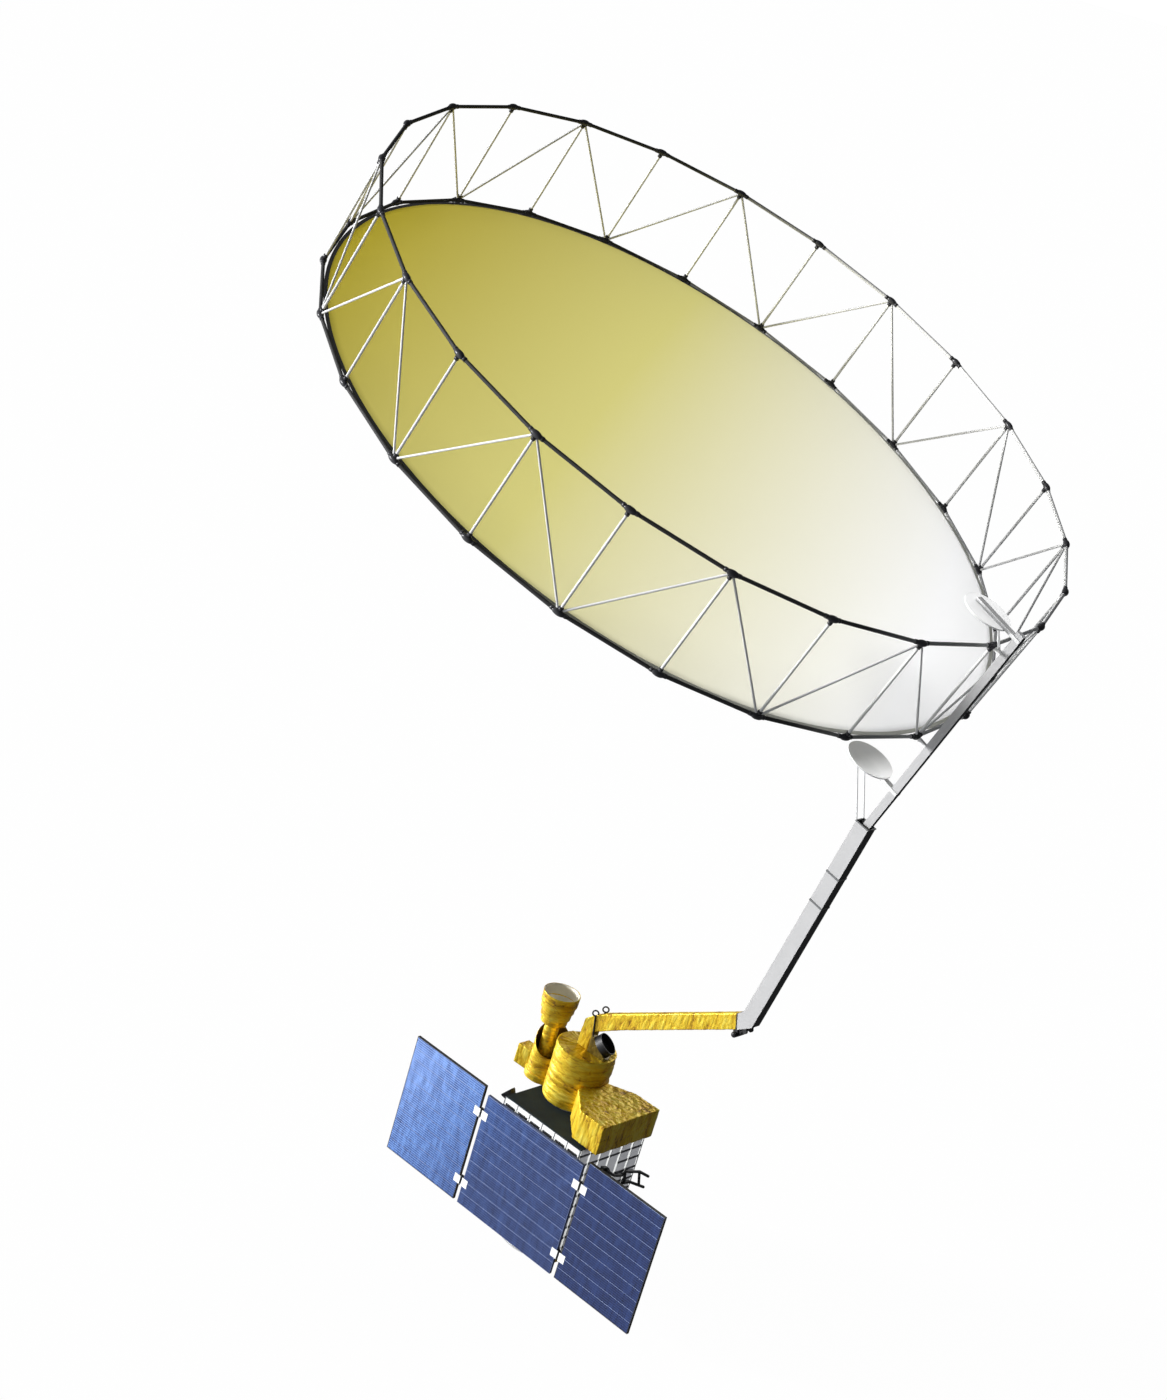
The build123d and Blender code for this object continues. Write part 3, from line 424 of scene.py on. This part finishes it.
def remeshed(node, voxel):
    """An even quad skin over a CAD node, with its edges a little rounded."""
    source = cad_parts[node]
    mesh = source.data.copy()
    obj = link(bpy.data.objects.new(node + "_skin", mesh))
    weld = obj.modifiers.new("weld", "WELD")
    weld.merge_threshold = 0.0001
    skin = obj.modifiers.new("skin", "REMESH")
    skin.mode = "VOXEL"
    skin.voxel_size = voxel
    bpy.context.view_layer.update()
    result = bpy.data.meshes.new_from_object(obj.evaluated_get(bpy.context.evaluated_depsgraph_get()))
    bpy.data.objects.remove(obj)
    return result


def folds(point, normal, scale, sides):
    """Crumpling of a wrapped box: a run of folds for its X, Y and Z sides, blended round the corners."""
    return sum(
        part * part * crinkle(point, scale, stretch)
        for part, stretch in zip(normal, sides) if abs(part) > 0.05
    )


def drum_folds(point, normal):
    """Bands round the big drum, deeper on its right, and folds that radiate over its top."""
    place = point - SPIN_AXIS
    angle = math.atan2(place.y, place.x)
    radial = Vector((3.2 * math.cos(angle), 3.2 * math.sin(angle), 2.0 * math.hypot(place.x, place.y)))
    top = max(0.0, normal.z) ** 2
    depth = 0.9 + 1.3 * max(0.0, normal.x)
    return 1.3 * top * crinkle(radial, 1.6) + (1 - top) * depth * crinkle(point, 9.0, (0.30, 0.30, 2.6))


def foil_wrap(node, body, name, voxel, height, material, rise):
    """Replaces a CAD node by a crumpled skin of it. rise gives the crumpling at a point and normal."""
    mesh = remeshed(node, voxel)
    mesh.name = name
    normals = [v.normal.copy() for v in mesh.vertices]
    for vertex, normal in zip(mesh.vertices, normals):
        vertex.co += normal * (height * (rise(vertex.co, normal) - 0.45))
    obj = link(bpy.data.objects.new(name, mesh))
    dress(obj, body, material)
    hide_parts(node)
    return obj


EVEN = (1.0, 1.0, 1.0)
# Stretch of the folds on the X, Y and Z sides
BOX_SIDES = ((1.0, 0.6, 1.3), (2.8, 1.0, 0.25), (1.8, 1.8, 1.0))
ARM_SIDES = (EVEN, (1.5, 1.0, 0.5), (1.5, 0.5, 1.0))
foil_wrap("instrument_drum", "spinner", "drum_foil", 0.008, 0.006, FOIL_DRUM, drum_folds)
# node, body, name, skin size, fold height, material, fold scale, stretch on each side
WRAPS = (
    ("electronics_box", "spinner", "electronics_box_foil", 0.008, 0.006, FOIL_BOX, 11.0, BOX_SIDES),
    ("side_box", "spinner", "side_box_foil", 0.005, 0.003, FOIL_BOX, 18.0, BOX_SIDES),
    ("star_camera_block", "spinner", "star_camera_foil", 0.004, 0.0015, FOIL_SHADED, 22.0, BOX_SIDES),
    ("feed_tube", "spinner", "feed_tube_foil", 0.005, 0.003, FOIL_DRUM, 20.0, (EVEN, EVEN, EVEN)),
    ("boom_arm", "spinner", "boom_arm_foil", 0.008, 0.003, FOIL_ARM, 20.0, ARM_SIDES),
    ("bottom_skirt", "bus", "bottom_skirt_foil", 0.012, 0.004, FOIL_BOX, 12.0, BOX_SIDES),
    ("side_drum", "spinner", "side_drum_foil", 0.004, 0.0022, FOIL_DRUM, 14.0,
     ((1, 1, 1.8), (1, 1, 1.8), EVEN)),
)
for node, body, name, voxel, height, material, scale, sides in WRAPS:
    foil_wrap(
        node, body, name, voxel, height, material,
        lambda point, normal: folds(point, normal, scale, sides),
    )

# Painted shade: the side drum's inside is darkened, where shade falls in its hollow
SIDE_DRUM_INSIDE = 0.1375
SIDE_DRUM_FLOOR_Z = DECK_Z + 0.025
inside = bpy.data.objects["side_drum_foil"].data
inside.materials.append(FOIL_INSIDE_SHADE)
for face in inside.polygons:
    out = Vector((face.center.x - SIDE_DRUM_AXIS.x, face.center.y - SIDE_DRUM_AXIS.y, 0.0))
    shaded_wall = out.length < SIDE_DRUM_INSIDE and face.normal.dot(out.normalized()) < 0.3
    face.material_index = 1 if shaded_wall and face.center.z > SIDE_DRUM_FLOOR_Z else 0


def lathe(name, axis, profile, body, material, segments=96, wobble=None):
    """A closed turned shell about an upright axis from radius and height pairs."""
    verts = []
    faces = []
    rows = len(profile)
    for radius, height in profile:
        for k in range(segments):
            angle = 2 * math.pi * k / segments
            p = Vector((axis.x + radius * math.cos(angle), axis.y + radius * math.sin(angle), height))
            if wobble and radius > 0.01:
                p += Vector((math.cos(angle), math.sin(angle), 0)) * wobble(p)
            verts.append(p)
    for row in range(rows - 1):
        for k in range(segments):
            n = (k + 1) % segments
            a, b = row * segments, (row + 1) * segments
            faces.append((a + k, a + n, b + n, b + k))
    faces.append(tuple(reversed(range(segments))))
    last = (rows - 1) * segments
    faces.append(tuple(last + k for k in range(segments)))
    return piece(name, verts, faces, body, material)


def densify(profile, step):
    """Adds points along a profile so that no run is longer than step."""
    points = [profile[0]]
    for a, b in zip(profile, profile[1:]):
        count = max(1, math.ceil(math.hypot(b[0] - a[0], b[1] - a[1]) / step))
        points += [
            (a[0] + (b[0] - a[0]) * k / count, a[1] + (b[1] - a[1]) * k / count)
            for k in range(1, count + 1)
        ]
    return points


HORN_OUTSIDE = ((0.0005, 0.490), (0.066, 0.490), (0.070, 0.512), (0.108, 0.516), (0.113, 0.571),
                (0.124, 0.575), (0.128, 0.632), (0.138, 0.636), (0.142, 0.694), (0.150, 0.698),
                (0.1535, 0.790))
HORN_STEP = 0.007
HORN_INSIDE = ((0.151, 0.790), (0.150, 0.787), (0.1475, 0.692), (0.047, 0.513), (0.0005, 0.513))
horn = lathe(
    "feed_horn_foil", FEED_AXIS,
    [(r, DECK_Z + z) for r, z in (*densify(HORN_OUTSIDE, HORN_STEP), *HORN_INSIDE)],
    "spinner", FOIL_DRUM, 120,
    lambda p: 0.003 * crinkle(p, 22.0, (1, 1, 0.6)),
)
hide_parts("feed_horn")
LINING_PROFILE = ((0.0005, 0.516), (0.046, 0.516), (0.1462, 0.692), (0.1490, 0.789),
                  (0.1478, 0.789), (0.1450, 0.692), (0.045, 0.5175), (0.0005, 0.5175))
LINING_STEP = 0.02
lathe(
    "feed_horn_lining", FEED_AXIS,
    [(r, DECK_Z + z) for r, z in densify(LINING_PROFILE, LINING_STEP)],
    "spinner", LINING, 120,
)

# Plain CAD nodes whose shape is right
for node, material in {
    "launch_adapter": BARE,
    "bus_shell": WHITE,
    "top_deck": DECK,
    "front_tiles": WHITE,
    "back_tiles": WHITE,
    "right_tiles": GREY,
    "left_tiles": GREY,
    "spin_bearing": BARE,
    "array_standoffs": BARE,
    "array_hinge_pins": BARE,
    "flared_sensor": BLACK,
    "ladder_antenna": BLACK,
    "ladder_bracket": BLACK,
    "array_centre_panel": EDGE_BLUE,
    "array_left_panel": EDGE,
    "array_right_panel": EDGE,
    "star_camera_baffle": BLACK,
    "loop_antennas": BLACK,
    "arm_end_fitting": BLACK,
    "elbow_pin": BLACK,
    "lower_boom": BOOM,
    "boom_lug": BLACK,
    "seam_bands": FRAME_GREY,
    "boom_end_frame": FRAME_GREY,
    "upper_boom": BOOM,
    "lower_stow_plate": POLE,
    "upper_stow_plate": POLE,
    "lower_plate_bracket": POLE,
    "upper_plate_bracket": POLE,
    "stow_stays": STAY,
    "hoop_brackets": TUBE,
    "hoop_lower_tubes": RING,
    "hoop_upper_tubes": RING,
    "hoop_battens": TUBE,
    "hoop_diagonals": TUBE,
    "mesh_edge": NET_EDGE,
}.items():
    paint(node, material)


# The hinge leaves are white in front of the panels and painted dark in the gap, as painted shade
ARRAY_FRONT = -0.458
for node in ("left_fixed_leaves", "right_fixed_leaves", "left_wing_leaves", "right_wing_leaves"):
    paint_behind(node, LEAF, BLACK, ARRAY_FRONT)
thicken("ladder_antenna", 0.0055)
thicken("loop_antennas", 0.0025)

# Painted shade: the boom's outer face is painted black, as the photograph shows it
for node in ("lower_boom", "upper_boom"):
    paint_facing(node, BOOM, BOOM_PAINTED_SHADE, Vector((1.0, 0.0, 0.0)))
for node in ("lower_boom", "upper_boom", "top_deck", "lower_plate_bracket", "upper_plate_bracket"):
    soften(node, 0.002)


def slab(mesh, low, high, bevel=0.0):
    """Adds one box to a bmesh."""
    made = bmesh.ops.create_cube(mesh, size=1.0)["verts"]
    size = Vector(high) - Vector(low)
    centre = (Vector(high) + Vector(low)) / 2
    for v in made:
        v.co = Vector((v.co.x * size.x, v.co.y * size.y, v.co.z * size.z)) + centre
    if bevel:
        edges = list({e for v in made for e in v.link_edges})
        bmesh.ops.bevel(mesh, geom=edges, offset=bevel, segments=1, affect="EDGES")


def slabs(name, boxes, body, material, bevel=0.0):
    mesh = bmesh.new()
    for low, high in boxes:
        slab(mesh, low, high, bevel)
    obj = object_from(mesh, name)
    dress(obj, body, material, smooth=False)
    return obj


# A dark line along each hinge leaf's inner edge
LEAF_LEVELS = (0.295, 0.945)
LEAF_HALF_H = 0.0375
# Each line's reach from the hinge, and how far it stands out from the panels' front
LEAF_LINE = (0.002, 0.010)
LEAF_LINE_OUT = (0.0042, 0.0008)
LEFT_HINGE = -0.5865
RIGHT_HINGE = 0.542
# leaves, body, hinge line, side of it
for node, body, hinge, toward in (
    ("left_fixed_leaves", "bus", LEFT_HINGE, 1), ("right_fixed_leaves", "bus", RIGHT_HINGE, -1),
    ("left_wing_leaves", "wing_left", LEFT_HINGE, -1), ("right_wing_leaves", "wing_right", RIGHT_HINGE, 1),
):
    span = sorted(hinge + toward * reach for reach in LEAF_LINE)
    lines = [
        ((span[0], ARRAY_FRONT - LEAF_LINE_OUT[0], middle - LEAF_HALF_H),
         (span[1], ARRAY_FRONT - LEAF_LINE_OUT[1], middle + LEAF_HALF_H))
        for middle in LEAF_LEVELS
    ]
    slabs(node + "_edges", lines, body, BLACK, 0.0005)

# Solar cells: rows of thin plates on each panel's front, with a light strip between rows
CELL_ROW = 0.099
CELL_W = 0.062
CELL_GAP = 0.0012
ROW_GAP = 0.0035
PANEL_EDGE = 0.006
CELL_INSET = 0.0005
CELL_OUT = 0.001
BAR_OUT = 0.0006
INTO_PANEL = 0.001
PANELS = (
    ("array_left_panel", "wing_left", CELLS_LEFT),
    ("array_centre_panel", "bus", CELLS_CENTRE),
    ("array_right_panel", "wing_right", CELLS_RIGHT),
)
for node, body, material in PANELS:
    low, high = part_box(node)
    front = low[1]
    width = high[0] - low[0] - 2 * PANEL_EDGE
    height = high[2] - low[2] - 2 * PANEL_EDGE
    rows = round(height / CELL_ROW)
    columns = round(width / CELL_W)
    pitch_z = height / rows
    pitch_x = width / columns
    cells = []
    bars = []
    for row in range(rows):
        z0 = low[2] + PANEL_EDGE + row * pitch_z
        bars.append((
            (low[0] + PANEL_EDGE, front - BAR_OUT, z0 + pitch_z - ROW_GAP),
            (high[0] - PANEL_EDGE, front + INTO_PANEL, z0 + pitch_z),
        ))
        for column in range(columns):
            x0 = low[0] + PANEL_EDGE + column * pitch_x
            cells.append((
                (x0 + CELL_GAP / 2, front - CELL_OUT, z0 + CELL_INSET),
                (x0 + pitch_x - CELL_GAP / 2, front + INTO_PANEL, z0 + pitch_z - ROW_GAP - CELL_INSET),
            ))
    slabs(node + "_cells", cells, body, material)
    slabs(node + "_busbars", bars, body, BUSBAR)

# Bus faces: strips in the joints between tiles, a dark louvre slot in each tile, and corner strips
BUS_HALF_X = 0.421
BUS_HALF_Y = 0.409
COLUMNS = 6
ROWS = 10
ROW_H = 0.100
SLOT_TOP = 0.052
SLOT_H = 0.022
TILE_OUT = 0.006
SHELL_Z = 0.160
STRIPE_W = 0.032
LINE_W = 0.016
FRONT_SLOT_W = 0.104
SIDE_SLOT_W = 0.118
# Strips lie under the tiles' faces and end short of the shell's foot and the deck
STRIP_SINK = 0.002
STRIP_FOOT = 0.004
STRIP_TOP = 0.006
SLOT_SINK = 0.001
SLOT_OUT = 0.0015
UP = Vector((0, 0, 1))


def on_face(outward, distance, across, out, height):
    """Two corners of a box on a bus face, from its spans along the face, out from it and up it."""
    along = UP.cross(outward)
    a = along * across[0] + outward * (distance + out[0]) + UP * height[0]
    b = along * across[1] + outward * (distance + out[1]) + UP * height[1]
    return tuple(map(min, a, b)), tuple(map(max, a, b))


# name, outward, distance, width, slot width, strips are grey backing, (column, row) without a slot
BUS_FACES = (
    ("front", Vector((0, -1, 0)), BUS_HALF_Y, 2 * BUS_HALF_X, FRONT_SLOT_W, False,
     ((0, 2), (5, 2), (0, 8), (5, 8))),
    ("back", Vector((0, 1, 0)), BUS_HALF_Y, 2 * BUS_HALF_X, FRONT_SLOT_W, False, ()),
    ("right", Vector((1, 0, 0)), BUS_HALF_X, 2 * BUS_HALF_Y, SIDE_SLOT_W, True,
     ((2, 2), (3, 2), (2, 3), (3, 3))),
    ("left", Vector((-1, 0, 0)), BUS_HALF_X, 2 * BUS_HALF_Y, SIDE_SLOT_W, True,
     ((4, 0), (5, 0), (4, 1), (5, 1))),
)
for name, outward, distance, width, slot_w, backed, bare in BUS_FACES:
    pitch = width / COLUMNS
    slots = []
    strips = []
    for column in range(COLUMNS):
        middle = (column - (COLUMNS - 1) / 2) * pitch
        if backed:
            strips.append(on_face(
                outward, distance, (middle - (pitch - STRIPE_W) / 2, middle + (pitch - STRIPE_W) / 2),
                (0.0, TILE_OUT - STRIP_SINK), (SHELL_Z + STRIP_FOOT, DECK_Z - STRIP_TOP),
            ))
        for row in range(ROWS):
            top = DECK_Z - row * ROW_H
            if not backed and column:
                edge = middle - pitch / 2
                strips.append(on_face(
                    outward, distance, (edge - LINE_W / 2, edge + LINE_W / 2),
                    (0.0, TILE_OUT - STRIP_SINK), (top - SLOT_TOP, top - STRIP_TOP),
                ))
            if (column, row) not in bare:
                slots.append(on_face(
                    outward, distance, (middle - slot_w / 2, middle + slot_w / 2),
                    (TILE_OUT - SLOT_SINK, TILE_OUT + SLOT_OUT),
                    (top - SLOT_TOP - SLOT_H, top - SLOT_TOP),
                ))
    slabs(name + "_louvre_slots", slots, "bus", BLACK, 0.0006)
    slabs(
        name + "_tile_joints", strips, "bus",
        GREY if backed else SLATE, 0.0006,
    )
CORNER_W = 0.007
CORNER_END = 0.004
corners = []
for x in (-1, 1):
    for y in (-1, 1):
        ends = [
            (x * (BUS_HALF_X + out), y * (BUS_HALF_Y + out)) for out in (0.0, CORNER_W)
        ]
        low = (min(e[0] for e in ends), min(e[1] for e in ends), SHELL_Z + CORNER_END)
        high = (max(e[0] for e in ends), max(e[1] for e in ends), DECK_Z - CORNER_END)
        corners.append((low, high))
slabs("corner_strips", corners, "bus", FRAME_GREY, 0.0015)

# Mesh dish: one smooth bowl with a little thickness


def hoop_point(x, y, z):
    """A point in the hoop's own frame: x towards the boom, z up through the upper ring."""
    run = Vector((math.cos(HOOP_TILT), 0, -math.sin(HOOP_TILT)))
    up = Vector((math.sin(HOOP_TILT), 0, math.cos(HOOP_TILT)))
    return HOOP_CENTRE + run * x + Vector((0, 1, 0)) * y + up * z


def dish_height(radius):
    """Height of the bowl over the lower ring, as a part of a sphere."""
    sphere_r = (MESH_R**2 + MESH_RISE**2) / (2 * MESH_RISE)
    return math.sqrt(sphere_r**2 - radius**2) - (sphere_r - MESH_RISE)


RINGS = 60
SPOKES = 240
NET_T = 0.003
verts = []
faces = []
for side in (0.0, NET_T):
    for ring in range(1, RINGS + 1):
        radius = MESH_R * ring / RINGS
        for spoke in range(SPOKES):
            angle = 2 * math.pi * spoke / SPOKES
            verts.append(hoop_point(
                radius * math.cos(angle), radius * math.sin(angle), dish_height(radius) + side
            ))
    verts.append(hoop_point(0, 0, MESH_RISE + side))
layer = RINGS * SPOKES + 1
for side in (0, 1):
    base = side * layer
    for ring in range(RINGS - 1):
        for spoke in range(SPOKES):
            nxt = (spoke + 1) % SPOKES
            quad = (
                base + ring * SPOKES + spoke, base + ring * SPOKES + nxt,
                base + (ring + 1) * SPOKES + nxt, base + (ring + 1) * SPOKES + spoke,
            )
            faces.append(quad if side == 0 else tuple(reversed(quad)))
    for spoke in range(SPOKES):
        nxt = (spoke + 1) % SPOKES
        hub = (base + layer - 1, base + nxt, base + spoke)
        faces.append(hub if side == 0 else tuple(reversed(hub)))
rim = (RINGS - 1) * SPOKES
for spoke in range(SPOKES):
    nxt = (spoke + 1) % SPOKES
    faces.append((rim + spoke, rim + nxt, layer + rim + nxt, layer + rim + spoke))
net = piece("reflector_net", verts, faces, "boom", NET)
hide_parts("reflector_mesh")

# Hoop fittings: a bead drawn out along the chords, with a collar where each chord and batten leaves it
BEAD = (0.052, 0.027, 0.024)
COLLAR_R = 0.0175
COLLAR_L = 0.030
COLLAR_AT = 0.052
BATTEN_COLLAR_BACK = 0.018


def collar(mesh, centre, run):
    """A short ring on a tube that leaves a fitting along run."""
    turn = run.to_track_quat("Z", "Y").to_matrix().to_4x4()
    made = bmesh.ops.create_cone(
        mesh, cap_ends=True, segments=20, radius1=COLLAR_R, radius2=COLLAR_R, depth=COLLAR_L,
        matrix=Matrix.Translation(centre + run * COLLAR_AT) @ turn,
    )
    edges = [e for e in {e for v in made["verts"] for e in v.link_edges} if e.calc_length() < 0.01]
    bmesh.ops.bevel(mesh, geom=edges, offset=0.003, segments=2, affect="EDGES")


def hoop_node(index, level):
    angle = 2 * math.pi * index / BAYS
    return hoop_point(HOOP_R * math.cos(angle), HOOP_R * math.sin(angle), level * HOOP_DEPTH)


for node, name, level in (
    ("hoop_lower_fittings", "lower_beads", 0), ("hoop_upper_fittings", "upper_beads", 1),
):
    mesh = bmesh.new()
    for index in range(BAYS):
        centre = hoop_node(index, level)
        chords = [(hoop_node(index + side, level) - centre).normalized() for side in (-1, 1)]
        batten = (hoop_node(index, 1 - level) - centre).normalized()
        along = (chords[1] - chords[0]).normalized()
        frame_axes = Matrix((along, along.cross(batten), batten)).transposed().to_4x4()
        ball(mesh, 28, 18, Matrix.Translation(centre) @ frame_axes @ Matrix.Diagonal((*BEAD, 1.0)))
        for run in chords:
            collar(mesh, centre, run)
        collar(mesh, centre - batten * BATTEN_COLLAR_BACK, batten)
    beads = object_from(mesh, name)
    dress(beads, "boom", FITTING)
    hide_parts(node)

# Round knobs on the elbow pin's two ends
KNOB = (0.024, 0.019, 0.024)
pin_low, pin_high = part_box("elbow_pin")
knob_mesh = bmesh.new()
for end in (pin_low[1], pin_high[1]):
    knob_centre = Vector(((pin_low[0] + pin_high[0]) / 2, end, (pin_low[2] + pin_high[2]) / 2))
    ball(knob_mesh, 28, 18, Matrix.Translation(knob_centre) @ Matrix.Diagonal((*KNOB, 1.0)))
dress(object_from(knob_mesh, "elbow_knobs"), "spinner", BLACK)

# Floor, backdrop, light and camera
FLOOR_R = 300.0
BACKDROP_R = 320.0
BRIGHT_SKY = (-0.73, -0.60, -0.32)
SKY_GREYS = ((0.0, (0.06, 0.062, 0.065)), (0.35, (0.10, 0.103, 0.105)), (0.55, (0.15, 0.155, 0.16)),
             (0.75, (0.40, 0.41, 0.42)), (1.0, (0.85, 0.86, 0.88)))


def glow_material(name, albedo, glow):
    material, _, shader = nodes_of(name)
    shader.inputs["Base Color"].default_value = (albedo, albedo, albedo, 1.0)
    shader.inputs["Roughness"].default_value = 0.95
    shader.inputs["Specular IOR Level"].default_value = 0.0
    shader.inputs["Emission Color"].default_value = (1.0, 1.0, 1.0, 1.0)
    shader.inputs["Emission Strength"].default_value = glow
    return material


def stage_mesh(name, build, material):
    """A piece of the studio: seen by the camera, but adding no light of its own to the satellite."""
    mesh = bmesh.new()
    build(mesh)
    obj = object_from(mesh, name)
    obj.data.materials.append(material)
    obj.visible_diffuse = False
    obj.visible_glossy = False
    obj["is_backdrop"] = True
    return obj


stage_mesh(
    "floor", lambda m: bmesh.ops.create_circle(m, cap_ends=True, segments=128, radius=FLOOR_R),
    glow_material("pale_floor", 0.03, 0.98),
)
backdrop = stage_mesh(
    "backdrop", lambda m: bmesh.ops.create_uvsphere(m, u_segments=64, v_segments=32, radius=BACKDROP_R),
    glow_material("pale_backdrop", 0.0, 1.06),
)
backdrop.visible_shadow = False
backdrop.visible_transmission = False

world = bpy.data.worlds.new("studio")
bpy.context.scene.world = world
world.use_nodes = True
sky_tree = world.node_tree
toward_light = sky_tree.nodes.new("ShaderNodeVectorMath")
toward_light.operation = "DOT_PRODUCT"
toward_light.inputs[1].default_value = BRIGHT_SKY
sky_tree.links.new(sky_tree.nodes.new("ShaderNodeTexCoord").outputs["Generated"], toward_light.inputs[0])
level = sky_tree.nodes.new("ShaderNodeMapRange")
level.inputs["From Min"].default_value = -1.0
sky_tree.links.new(toward_light.outputs["Value"], level.inputs["Value"])
sky_tree.links.new(
    ramp(sky_tree, level.outputs["Result"], SKY_GREYS),
    sky_tree.nodes["Background"].inputs["Color"],
)
sky_tree.nodes["Background"].inputs["Strength"].default_value = 1.0
bpy.context.scene.view_settings.view_transform = "Standard"


def sun(name, toward, energy, softness):
    light = bpy.data.lights.new(name, "SUN")
    light.energy = energy
    light.angle = math.radians(softness)
    holder = link(bpy.data.objects.new(name, light))
    holder.rotation_mode = "QUATERNION"
    holder.rotation_quaternion = Vector(toward).to_track_quat("-Z", "Y")
    return holder


def lit_by(light, objects):
    """Keeps a light to some objects."""
    group = bpy.data.collections.new(light.name + "_lit")
    for obj in objects:
        group.objects.link(obj)
    light.light_linking.receiver_collection = group


key = sun("key", (0.70, 0.70, -0.13), 4.4, 8)
gold_key = sun("gold_key", (0.95, 0.30, -0.03), 7.0, 8)
back_light = sun("back", (0.15, -0.90, -0.30), 0.9, 40)
side_light = sun("side", (-0.90, 0.05, -0.35), 3.2, 30)
DOWN_HOOP = (-0.361, 0.0, -0.932)
dish_sky = sun("dish_sky", DOWN_HOOP, 2.8, 60)
plate_sky = sun("plate_sky", DOWN_HOOP, 3.4, 60)
plates = [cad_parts[node] for node in ("lower_stow_plate", "upper_stow_plate")]
solids = [obj for obj in bpy.context.scene.objects if obj.type == "MESH" and obj is not net]
# The foils have a key of their own, the net has only the sky, and the hoop's shaded sides stay dark
foils = [obj for obj in solids if obj.name.endswith("_foil")]
lit_by(key, [obj for obj in solids if obj not in foils])
lit_by(gold_key, foils)
lit_by(plate_sky, [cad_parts["lower_stow_plate"]])
lit_by(back_light, [
    obj for obj in solids if not obj.name.startswith(("hoop", "upper_beads", "lower_beads"))
])
lit_by(dish_sky, [net, *plates])
lit_by(side_light, [
    obj for obj in solids
    if obj.name in ("bus_shell", "right_tiles", "right_tile_joints", "right_louvre_slots", "corner_strips")
])

CAMERA_PLACE = (10.1295, -14.9925, 11.1346)
CAMERA_TURN = (69.372, -15.384, 42.563)
CAMERA_LENS = 64.857
camera_data = bpy.data.cameras.new("camera")
camera_data.lens = CAMERA_LENS
camera_data.sensor_width = 36.0
camera_data.clip_end = 1000.0
camera = link(bpy.data.objects.new("camera", camera_data))
camera.location = CAMERA_PLACE
camera.rotation_euler = Euler([math.radians(a) for a in CAMERA_TURN], "XYZ")
bpy.context.scene.camera = camera

low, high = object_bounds()
